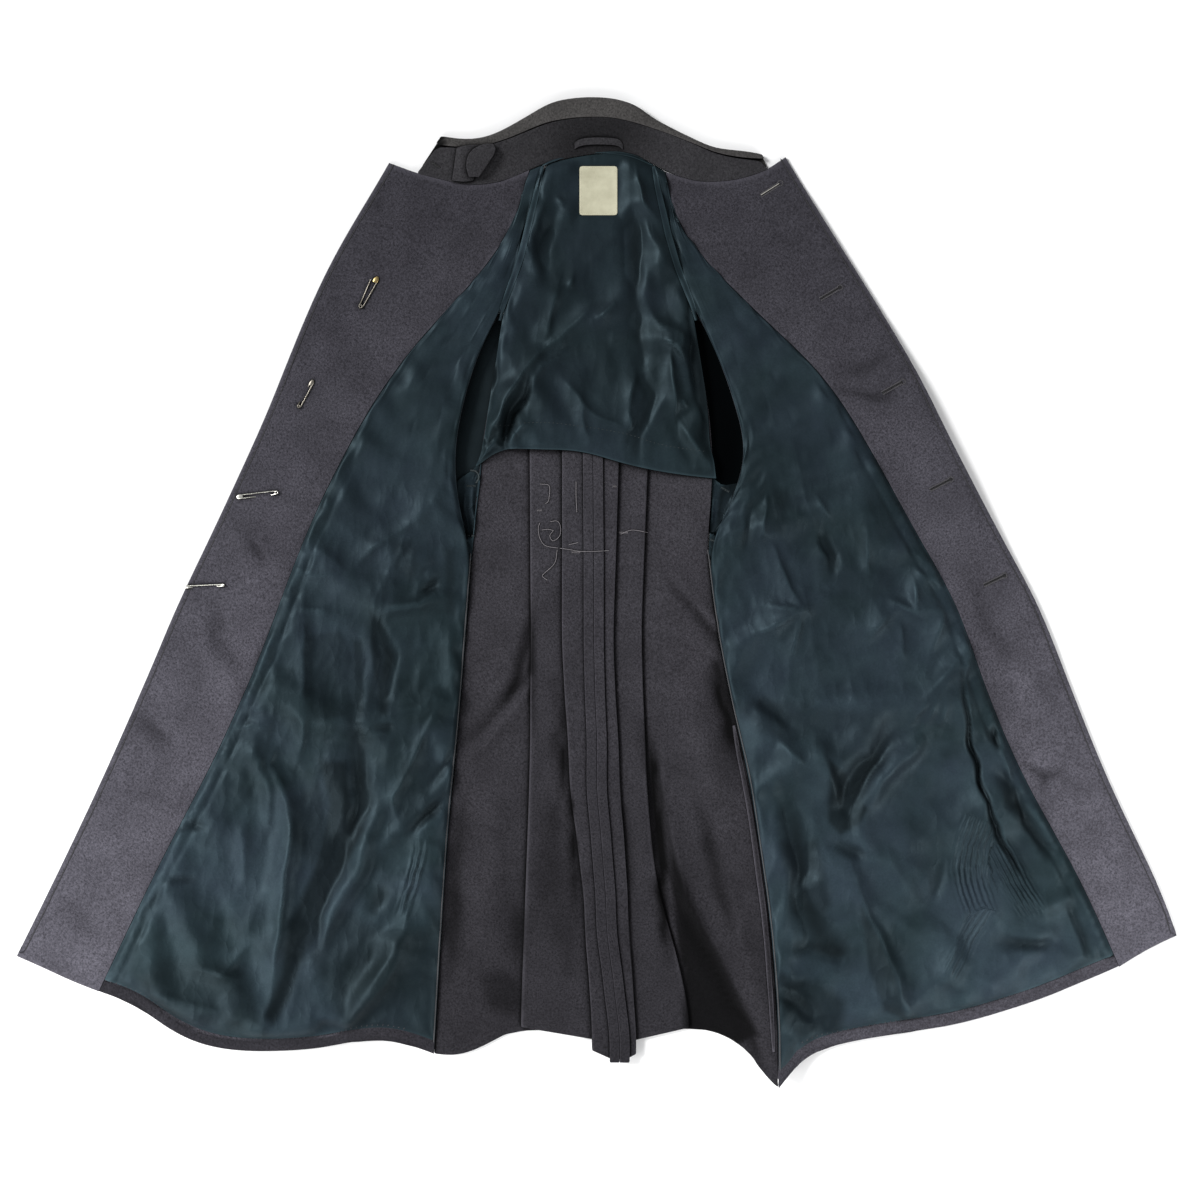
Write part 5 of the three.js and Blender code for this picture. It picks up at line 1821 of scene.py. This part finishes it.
@dataclass
class Collar:
    """Stand, fall, throat tab and hanger loop."""

    sheets: list[Piece] = field(default_factory=list)

    def build(self, finishes: Finishes) -> None:
        """Makes and dresses the collar's pieces."""
        rows = (
            ("collar_stand", 70, 1, "collar_wool", finishes.stand, 0.5),
            ("collar_fall", 80, 0, "collar_wool", finishes.fall, 0.6),
            ("throat_tab", SHARP_FOLD, 1, "wool", finishes.stand, 0.3),
            ("throat_tab_end", SHARP_FOLD, 1, "wool", finishes.stand, 0.3),
            ("hanger_loop", SHARP_FOLD, 1, "wool", finishes.stand, 0.1),
        )
        for node, angle, plain, slot, finish, lumps in rows:
            piece = softened(node, angle, plain)
            points = read_points(piece)
            points[:, 2] += lumps * (1 + ripple(points[:, :2], 24, 91)) * (points[:, 2] > 0.9)
            write_points(piece, points)
            # The collar's painted shade is stored as its hollow value
            for shade in COLLAR_SHADES.get(node, ()):
                write_values(piece, "hollow", shade.measure(points[:, :2]))
            smooth_shade(piece)
            enter(piece, slot, finish, node)
            self.sheets.append(piece)
        # The slit in the stand is a near-black cord: painted shadow in the opening
        slit = lifted(((-201, 521), (-190, 514)), Surface(self.sheets[:1]), 0, 2)
        enter(cord("stand_slit", [slit], 0.9), "collar_wool", finishes.slit)


UNDERARM_OUTLINES = {
    Side.RIGHT: (
        (-140, 158), (-152, 146), (-172, 130), (-184, 100), (-178, 60), (-166, 30), (-154, 32),
        (-150, 60), (-146, 100), (-142, 132),
    ),
    Side.LEFT: (
        (141, 138), (154, 128), (176, 130), (190, 116), (182, 80), (158, 34), (138, 36), (137, 60),
        (140, 100),
    ),
}
UNDERARM_FOLDS = {
    Side.RIGHT: creases(
        (((-171, 128), (-172, 96), (-166, 60)), -9, 3, 4, S),
        (((-158, 122), (-159, 95), (-158, 68)), 1.6, 3, 4, K),
        (((-149, 126), (-149, 96), (-150, 66)), 1.8, 2, 3, K),
    ),
    Side.LEFT: creases(
        (((176, 140), (162, 128), (150, 108)), -9, 7, 5, S),
        (((154, 118), (150, 96), (146, 78)), -6, 3, 3, S),
        (((166, 122), (164, 96), (158, 66)), 1.8, 3, 5, K),
        (((146, 124), (141, 100), (139, 78)), 1.5, 3, 3, K),
    ),
}


@dataclass
class Underarms:
    """What shows at the foot of each armhole: satin, a tape loop and bar tacks."""

    sheets: list[Piece] = field(default_factory=list)

    def patch(self, side: Side) -> Piece:
        """The satin at the foot of one armhole."""
        outline = smooth_line((*UNDERARM_OUTLINES[side], UNDERARM_OUTLINES[side][0]), 7)
        centre = outline.mean(axis=0)
        points = np.column_stack([np.vstack([outline, centre]), np.zeros(len(outline) + 1)])
        last = len(outline)
        turn = [(last, index, (index + 1) % last) for index in range(last)]
        piece = mesh_piece(f"cloth_underarm_{side.label}", points, turn)
        with editing(piece):
            bpy.ops.mesh.select_all(action="SELECT")
            bpy.ops.mesh.normals_make_consistent(inside=False)
            bpy.ops.mesh.subdivide(number_cuts=12)
        return piece

    def dress(self, side: Side, surface: Surface) -> Piece:
        """The patch, laid down and creased."""
        piece = self.patch(side)
        points = read_points(piece)
        places = points[:, :2]
        rise = 1.2 + np.maximum(pressed(UNDERARM_FOLDS[side], places), 0)
        points[:, 2] = surface.heights(places) + rise + 0.6 * crumple(places, 16, 911)
        write_points(piece, points)
        # Painted shade in the troughs of the underarm folds
        write_values(piece, "hollow", painted_shade(UNDERARM_FOLDS[side], places))
        write_values(piece, "crumpled", np.full(len(points), 0.6))
        wall(piece, SATIN_WALL)
        smooth_shade(piece)
        return piece

    def build(self, finishes: Finishes, under: Surface) -> None:
        """Makes and dresses both feet, the tape loop and the tacks.

        Args:
            finishes: the finishes.
            under: the pieces that the satin lies on.
        """
        for side in Side:
            piece = self.dress(side, under)
            enter(piece, "satin", finishes.satin)
            self.sheets.append(piece)
        top = Surface(self.sheets)
        loop = lifted(((-154, 146), (-146, 144), (-143, 137), (-147, 130)), top, 0.9, 1.5)
        enter(cord("tape_loop", [loop], 0.9), "satin", finishes.tape)
        tacks = ((-158, 127, -148, 127), (-157, 66, -148, 66), (152, 125, 161, 120), (137, 62, 145, 59))
        places = []
        for x0, y0, x1, y1 in tacks:
            angle = math.atan2(y1 - y0, x1 - x0) + math.pi / 2
            for share in np.linspace(0, 1, 9):
                x, y = x0 + share * (x1 - x0), y0 + share * (y1 - y0)
                places.append((x, y, (top.height(x, y) or 5) + 0.2, angle))
        enter(Stitch(2.6, 0.8).repeat("underarm_tacks", places), "satin", finishes.tape)


@dataclass(frozen=True)
class Buttonhole:
    """A worked buttonhole: a slit with a round eye, both near black with painted shadow, and close stitches
    around it.
    """

    length: float = 28
    eye: float = 2.3
    rim: float = 1.9
    pitch: float = 1.2
    depth: float = 0.55
    slit_radius: float = 1.15

    def slit(self, place: Point, angle: float, surface: Surface) -> Piece:
        """The open slit and its eye."""
        along = np.array([math.cos(angle), math.sin(angle)])
        half = 0.5 * self.length * along
        route = lifted((np.array(place) - half, place, np.array(place) + half), surface, -self.depth, 2)
        line = cord("slit", [route], self.slit_radius)
        deselect_all()
        end = tuple(float(part) * MM for part in route[-1])
        bpy.ops.mesh.primitive_uv_sphere_add(segments=12, ring_count=6, radius=self.eye * MM, location=end)
        ball = bpy.context.active_object
        ball.scale.z = 0.45
        bpy.ops.object.transform_apply(location=True, rotation=True, scale=True)
        return joined("slit", [line, ball])

    def stitches(self, place: Point, angle: float, surface: Surface) -> list[StitchPlace]:
        """Places of the stitches around the slit and its eye."""
        along = np.array([math.cos(angle), math.sin(angle)])
        across = np.array([-along[1], along[0]])
        rows = []
        for step in np.arange(-0.5 * self.length, 0.5 * self.length - self.eye, self.pitch):
            for hand in (-1, 1):
                spot = np.array(place) + step * along + hand * self.rim * across
                rows.append((*spot, angle + math.pi / 2))
        middle = np.array(place) + 0.5 * self.length * along
        for turn in np.linspace(-2.2, 2.2, 11):
            ray = math.cos(turn) * along + math.sin(turn) * across
            rows.append((*(middle + (self.eye + 0.9) * ray), angle + turn))
        return [(x, y, (surface.height(x, y) or 0) + 0.1, turn) for x, y, turn in rows]


@dataclass(frozen=True)
class SafetyPin:
    """A safety pin: a wire with its coil, and a folded cap over the point.

    Attributes:
        cap: place of the cap, in millimetres.
        coil: place of the coil.
        width: distance between the two arms.
        spread: further distance at the cap where the pin isn't shut.
        pierced: depth to which the second arm goes through the cloth.
        buried: share of the second arm that lies beneath the cloth.
        wire: radius of the wire.
        clear: room between the wire and the cloth.
        coil_rise: how far the wire climbs as it goes round the coil.
    """

    cap: Point
    coil: Point
    width: float = 4.6
    spread: float = 0
    pierced: float = 3.5
    buried: float = 0.6
    wire: float = 0.66
    clear: float = 0.3
    coil_rise: float = 1.9

    def route(self, surface: Surface) -> Array:
        """Points of the wire from the cap round the coil and back."""
        cap, coil = np.array(self.cap, float), np.array(self.coil, float)
        along = (coil - cap) / np.linalg.norm(coil - cap)
        across = np.array([-along[1], along[0]])
        half = 0.5 * self.width
        spots = [cap + along * 2 + across * half, coil - along * 3 + across * half]
        for turn in np.linspace(0.5 * math.pi, -2.5 * math.pi, 25):
            spots.append(coil + half * 0.8 * (math.cos(turn) * along + math.sin(turn) * across))
        for share in np.linspace(0.05, 1, 9):
            arm = coil - along * 3 - across * half
            end = cap + along * 2 - across * (half + self.spread)
            spots.append(arm + share * (end - arm))
        flat = np.array(spots)
        travel = (flat - cap) @ along / np.linalg.norm(coil - cap)
        ends = [surface.height(*cap) or 0, surface.height(*coil) or 0]
        rest = ends[0] + (ends[1] - ends[0]) * travel
        tops = surface.heights(flat[:2])
        rest += max(0.0, float(np.max(tops - rest[:2]))) + self.wire + self.clear
        rest[2:27] += np.linspace(0, self.coil_rise, 25)
        hidden = np.clip(np.linspace(0, 1, 9) / self.buried, 0, 1)
        rest[27:] -= self.pierced * np.sin(np.pi * hidden) ** 0.5
        return np.column_stack([flat, rest])

    def build_cap(self, height: float) -> Piece:
        """The cap: a flattened shell, open towards the coil."""
        deselect_all()
        bpy.ops.mesh.primitive_uv_sphere_add(segments=20, ring_count=12, radius=MM)
        piece = bpy.context.active_object
        bpy.ops.object.mode_set(mode="EDIT")
        bpy.ops.mesh.select_all(action="SELECT")
        bpy.ops.transform.resize(value=(5.0, 0.5 * self.width + 0.9, 1.15))
        bpy.ops.mesh.select_all(action="SELECT")
        bpy.ops.mesh.bisect(
            plane_co=(3 * MM, 0, 0), plane_no=(1, 0, 0), use_fill=True, clear_outer=True,
        )
        bpy.ops.mesh.inset(thickness=0.4 * MM)
        bpy.ops.mesh.extrude_region_move(TRANSFORM_OT_translate={"value": (-2 * MM, 0, 0)})
        bpy.ops.object.mode_set(mode="OBJECT")
        angle = math.atan2(self.coil[1] - self.cap[1], self.coil[0] - self.cap[0])
        piece.rotation_euler = (0, 0, angle)
        piece.location = (self.cap[0] * MM, self.cap[1] * MM, height * MM)
        bpy.ops.object.transform_apply(location=True, rotation=True, scale=True)
        smooth_shade(piece, 50)
        return piece

    def build(self, name: str, surface: Surface) -> tuple[Piece, Piece]:
        """The wire and its cap."""
        route = self.route(surface)
        wire = cord(name, [route], self.wire, 2)
        smooth_shade(wire)
        cap = self.build_cap(float(route[0][2]) + 0.1)
        cap.name = f"{name}_cap"
        return wire, cap


PINS = (
    SafetyPin((-268, 376), (-286, 344), spread=3.5, pierced=0.6),
    SafetyPin((-345, 250), (-360, 222), width=3.6, pierced=4.5, buried=0.9),
    SafetyPin((-431, 113), (-387, 118), width=4.2, pierced=4),
    SafetyPin((-496, 4), (-452, 6), width=2.2, pierced=4.5, buried=1),
)
BUTTONHOLES = ((212, 488, 33), (284, 361, 31), (359, 246, 29), (417, 128, 27), (483, 12, 25))
LOOSE_THREADS = (
    ((-69, 129), (-59, 128), (-57, 122), (-59, 108), (-64, 105)),
    ((-69, 82), (-71, 75), (-69, 63), (-62, 54), (-46, 51)),
    ((-67, 73), (-59, 74), (-51, 72)),
    ((-57, 83), (-48, 84), (-44, 77), (-45, 66), (-53, 60), (-57, 66), (-53, 72)),
    ((-48, 49), (-51, 33), (-63, 21), (-66, 17), (-60, 12)),
    ((-45, 51), (-32, 49), (-20, 47), (-2, 47), (15, 48)),
    ((29, 68), (43, 73), (63, 70)),
    ((-25, 132), (-25, 113), (-24, 94)),
    ((-34, 55), (-21, 58)),
)


@dataclass
class Trimmings:
    """Label, buttonholes, pins, buttons, stitches and the loose tacking threads."""

    label_corner: float = 3
    edge_inset: float = 6.5
    hem_inset: float = 15.5
    side_inset: float = 1.2
    seam_height: float = 2.0
    seam_radius: float = 1.8

    def build_label(self, finishes: Finishes, surface: Surface) -> None:
        """The blank label and the stitches around it."""
        (x, y), (width, height) = LABEL_PLACE, LABEL_SIZE
        deselect_all()
        bpy.ops.mesh.primitive_grid_add(x_subdivisions=14, y_subdivisions=18, size=1)
        piece = bpy.context.active_object
        piece.name = "cloth_label"
        piece.scale = (width * MM, height * MM, 1)
        piece.location = (x * MM, y * MM, 0)
        bpy.ops.object.transform_apply(location=True, rotation=True, scale=True)
        points = read_points(piece)
        corner, offset = self.label_corner, points[:, :2] - (x, y)
        away = np.abs(offset) - (0.5 * width - corner, 0.5 * height - corner)
        in_corner = np.all(away > 0, axis=1)
        length = np.linalg.norm(away, axis=1)
        shrink = np.where(in_corner & (length > corner), corner / length, 1)
        signs = np.sign(offset)
        points[:, :2] -= signs * away * (1 - shrink)[:, None] * in_corner[:, None]
        points[:, 2] = surface.heights(points) + 0.75
        write_points(piece, points)
        wall(piece, 0.4)
        smooth_shade(piece)
        enter(piece, "label", finishes.label, "label")
        dx, dy = 0.5 * width - 1.8, 0.5 * height - 1.8
        corners = ((x - dx, y - dy), (x + dx, y - dy), (x + dx, y + dy), (x - dx, y + dy), (x - dx, y - dy))
        rows = []
        top = Surface([piece])
        for start, end in zip(corners, corners[1:]):
            angle = math.atan2(end[1] - start[1], end[0] - start[0])
            for share in np.arange(0.02, 0.99, 2.6 / math.dist(start, end)):
                spot = np.array(start) + share * (np.array(end) - np.array(start))
                rows.append((*spot, (top.height(*spot) or 0) + 0.05, angle))
        enter(Stitch(1.9, 0.5).repeat("label_stitches", rows), "label", finishes.label_thread)

    def build_buttonholes(self, finishes: Finishes, surface: Surface) -> None:
        """The five buttonholes of the left front."""
        hole, slits, rows = Buttonhole(), [], []
        for x, y, degrees in BUTTONHOLES:
            angle = math.radians(degrees)
            slits.append(hole.slit((x, y), angle, surface))
            rows.extend(hole.stitches((x, y), angle, surface))
        # The slits and their eyes are near black: painted shadow in the openings
        slit = joined("buttonhole_slits", slits)
        smooth_shade(slit)
        enter(slit, "wool", finishes.slit)
        enter(Stitch(1.9, 0.9).repeat("buttonhole_stitches", rows), "wool", finishes.hole_thread)
        thread = lifted(((200, 481), (211, 488), (222, 495)), surface, 0.75, 2)
        enter(cord("buttonhole_thread", [thread], 0.4), "wool", finishes.cream_thread)

    def build_pins(self, finishes: Finishes, surface: Surface) -> None:
        """The four safety pins on the right facing."""
        for number, pin in enumerate(PINS, 1):
            wire, cap = pin.build(f"pin_{number}", surface)
            metal = finishes.dull_steel if number < 3 else finishes.steel
            enter(wire, "steel", metal, f"safety_pin_{number}")
            enter(cap, "steel", finishes.brass if number == 1 else metal)

    def build_buttons(self, finishes: Finishes) -> None:
        """The four buttons beneath the right front."""
        for number in range(1, 5):
            piece = node_copy(f"button_{number}", "brass")
            hold_folds(piece, 60)
            subdivide(piece, 2)
            release_folds(piece)
            smooth_shade(piece, 40)
            enter(piece, "brass", finishes.brass, f"button_{number}")

    def build_stitches(self, finishes: Finishes, facings: Surface, linings: Surface) -> None:
        """Rows of stitches along the front edges, the hems and the back lining's lower edge."""
        for side in Side:
            name = side.label
            line = shifted_line(smooth_line(FRONT_EDGES[side], 20), -side.value * self.edge_inset)
            # A near-black cord lies in the stitched groove: painted shadow along the front edge
            groove = cord(f"edge_groove_{name}", [lifted(line, facings, -0.35, 6)], 0.8)
            enter(groove, "wool", finishes.groove)
            row = Stitch(2.8, 0.6).along(f"edge_stitches_{name}", line, 5, facings)
            enter(row, "wool", finishes.thread)
            hem = shifted_line(smooth_line(HEMS[side], 20), -side.value * self.hem_inset)
            row = Stitch(2.2, 0.6).along(f"hem_stitches_{name}", hem[2:-2], 6.5, linings, 60)
            enter(row, "wool", finishes.thread)
        lower = ((-127, 198), (-76, 203), (-31, 200), (33, 190), (77, 177), (132, 168))
        row = Stitch(2.4, 0.5).along("back_lining_stitches", lower, 5, linings)
        enter(row, "satin", finishes.tape)

    def build_threads(self, finishes: Finishes, skirts: Surface) -> None:
        """The loose tacking threads over the pleats."""
        routes = [lifted(path, skirts, 0.5, 1.5) for path in LOOSE_THREADS]
        enter(cord("tacking_threads", routes, 0.36), "wool", finishes.pale_thread)
        tacks = [
            (x, y, (skirts.height(x, y) or 0) + 0.2, math.pi / 2)
            for x0, x1, y in ((-30, -20, 46), (28, 38, 70), (-72, -66, 97), (20, 24, 126))
            for x in np.arange(x0, x1, 1.2)
        ]
        enter(Stitch(2.4, 0.6).repeat("pleat_tacks", tacks), "wool", finishes.pale_thread)

    def build_shoulder_seams(self, finishes: Finishes, surface: Surface) -> None:
        """The felled satin edges over the shoulder seams and below the collar."""
        for side in Side:
            piece = strip(f"shoulder_edge_{side.label}", SHOULDER_SEAMS[side], 8, surface, 0.9)
            enter(piece, "satin", finishes.satin)
        enter(strip("neck_edge", NECK_SEAM, 4, surface, 0.4), "satin", finishes.satin)

    def build_side_seams(self, finishes: Finishes, surface: Surface, skirts: Surface) -> None:
        """The pale turned edge of each front lining along the side seam, and the left seam's allowance."""
        for side in Side:
            line = shifted_line(smooth_line(SIDE_SEAMS[side], 20), side.value * self.side_inset)
            route = lifted(line, surface, 0.2, 4)
            piece = cord(f"side_edge_{side.label}", [route], 0.75)
            enter(piece, "wool", finishes.edge_thread)
            end = smooth_line(SEAM_ENDS[side])
            route = np.column_stack([end, np.full(len(end), self.seam_height)])
            enter(cord(f"side_seam_{side.label}", [route], self.seam_radius), "wool", finishes.skirt)
        band = strip("side_band_left", SIDE_BAND, 7, skirts, 0.7)
        enter(band, "wool", finishes.skirt)


@dataclass(frozen=True)
class Camera:
    """Straight-down view of the whole coat."""

    centre: Point = (4, -12)
    height: float = 2400
    span: float = 1464
    sensor: float = 36

    def build(self) -> None:
        """Adds the camera."""
        data = bpy.data.cameras.new("view")
        data.sensor_width = self.sensor
        data.lens = self.sensor * self.height / self.span
        camera = placed("view", data)
        camera.location = (self.centre[0] * MM, self.centre[1] * MM, self.height * MM)
        bpy.context.scene.camera = camera


@dataclass(frozen=True)
class Studio:
    """Pale floor and soft light, stronger towards the lower corners of the view.

    Attributes:
        floor_size: width of the floor, in metres.
        world_strength: light from all round.
        key_strength: light from the upper left.
        corner_power: light of each lamp at a lower corner, in watts.
    """

    floor_size: float = 9
    world_strength: float = 0.31
    key_strength: float = 3.9
    corner_power: float = 17

    def key(self) -> None:
        """One broad, soft light from the upper left."""
        data = bpy.data.lights.new("key", "SUN")
        data.energy = self.key_strength
        data.angle = math.radians(22)
        light = placed("key", data)
        light.rotation_euler = Vector((1, -0.42, -0.78)).to_track_quat("-Z", "Y").to_euler()

    def lamp(self, name: str, place: Place, aim: Place) -> None:
        """One soft square lamp that looks at a place."""
        data = bpy.data.lights.new(name, "AREA")
        data.shape = "SQUARE"
        data.size = 0.9
        data.energy = self.corner_power
        light = placed(name, data)
        light.location = place
        light.rotation_euler = (Vector(aim) - Vector(place)).to_track_quat("-Z", "Y").to_euler()

    def build(self, finishes: Finishes) -> None:
        """Adds floor, world and lights."""
        deselect_all()
        bpy.ops.mesh.primitive_grid_add(x_subdivisions=4, y_subdivisions=4, size=self.floor_size)
        floor = bpy.context.active_object
        floor.name = "floor"
        floor.location.z = -FLOOR_CLEAR * MM
        floor.data.materials.append(finishes.floor)
        world = bpy.data.worlds.new("soft_light")
        world.use_nodes = True
        ground = world.node_tree.nodes["Background"]
        ground.inputs["Color"].default_value = (0.97, 0.98, 1, 1)
        ground.inputs["Strength"].default_value = self.world_strength
        bpy.context.scene.world = world
        self.key()
        for side in Side:
            corner = (side.value * 1.2, -1.0, 0.75)
            self.lamp(f"corner_{side.label}", corner, (side.value * 0.6, -0.4, 0))
        bpy.context.scene.view_settings.view_transform = "Standard"


@dataclass(frozen=True)
class Cut:
    """Flat size to which the cloth of one piece was cut.

    Attributes:
        width: in metres.
        length: in metres.
        area: in square metres.
        held: how it lies.
        rests_on: what it lies on.
        trims: narrow bands sewn to it.
    """

    width: float
    length: float
    area: float
    held: str
    rests_on: tuple[str, ...] = ()
    trims: tuple[str, ...] = ()

    def declare(self, name: str) -> None:
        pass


CUTS = {
    "cloth_back_body": Cut(0.27, 0.31, 0.062, "laid"),
    "cloth_sleeve_right": Cut(0.41, 0.51, 0.190, "laid"),
    "cloth_sleeve_left": Cut(0.40, 0.51, 0.183, "laid"),
    "cloth_back_skirt_right": Cut(0.46, 0.80, 0.330, "folded"),
    "cloth_back_skirt_left": Cut(0.40, 0.83, 0.284, "folded", (), ("side_band_left",)),
    "cloth_front_right": Cut(0.64, 1.09, 0.363, "laid", ("cloth_sleeve_right",)),
    "cloth_front_left": Cut(0.64, 1.13, 0.363, "laid", ("cloth_sleeve_left",)),
    "cloth_facing_right": Cut(0.20, 1.16, 0.133, "laid", ("cloth_front_right",)),
    "cloth_facing_left": Cut(0.18, 1.14, 0.113, "laid", ("cloth_front_left",)),
    "cloth_front_lining_right": Cut(
        0.42, 1.11, 0.232, "laid", ("cloth_front_right",), ("shoulder_edge_right", "side_edge_right"),
    ),
    "cloth_front_lining_left": Cut(
        0.44, 1.13, 0.253, "laid", ("cloth_front_left",), ("shoulder_edge_left", "side_edge_left"),
    ),
    "cloth_back_lining": Cut(0.29, 0.40, 0.085, "laid", ("cloth_back_body",), ("neck_edge",)),
    "cloth_underarm_right": Cut(0.044, 0.131, 0.0047, "laid", ("cloth_sleeve_right",)),
    "cloth_underarm_left": Cut(0.054, 0.108, 0.0046, "laid", ("cloth_sleeve_left",)),
    "cloth_collar_fall": Cut(0.45, 0.075, 0.0275, "folded"),
    "cloth_collar_stand": Cut(0.44, 0.05, 0.0173, "laid", ("cloth_collar_fall",)),
    "cloth_throat_tab": Cut(0.038, 0.044, 0.0013, "laid", ("cloth_collar_stand",)),
    "cloth_throat_tab_end": Cut(0.036, 0.040, 0.0011, "folded", ("cloth_throat_tab",)),
    "cloth_hanger_loop": Cut(0.012, 0.060, 0.0005, "stretched", ("cloth_collar_stand",)),
    "cloth_label": Cut(0.046, 0.060, 0.00276, "laid", ("cloth_back_lining",)),
}


def main() -> None:
    """Builds the coat piece by piece, then the studio."""
    logging.basicConfig(level=logging.INFO, format="%(message)s")
    finishes = Finishes()
    right = Front(Side.RIGHT, RIGHT_LINING_CREASES, RIGHT_PUCKERS, RIGHT_SHADES, 100, 0.75)
    left = Front(Side.LEFT, LEFT_LINING_CREASES, LEFT_PUCKERS, LEFT_SHADES, 200, 0.4)
    back, sleeves, collar = Back(), Sleeves(), Collar()
    for part in (right, left, back, sleeves, collar):
        part.build(finishes)
    body, back_lining, *skirts = back.sheets
    under = Surface([body, *skirts, *sleeves.sheets])
    Underarms().build(finishes, under)
    facings = Surface([right.sheets[1], left.sheets[1]])
    linings = Surface([right.sheets[0], left.sheets[0], right.sheets[2], left.sheets[2], back_lining])
    trimmings = Trimmings()
    trimmings.build_label(finishes, Surface([back_lining]))
    trimmings.build_buttonholes(finishes, facings)
    trimmings.build_pins(finishes, facings)
    trimmings.build_buttons(finishes)
    trimmings.build_stitches(finishes, facings, linings)
    pleats = Surface(skirts)
    trimmings.build_threads(finishes, pleats)
    trimmings.build_shoulder_seams(finishes, linings)
    trimmings.build_side_seams(finishes, Surface([*skirts, right.sheets[2], left.sheets[2]]), pleats)
    for name, cut in CUTS.items():
        cut.declare(name)
    Studio().build(finishes)
    Camera().build()


if __name__ == "__main__":
    main()
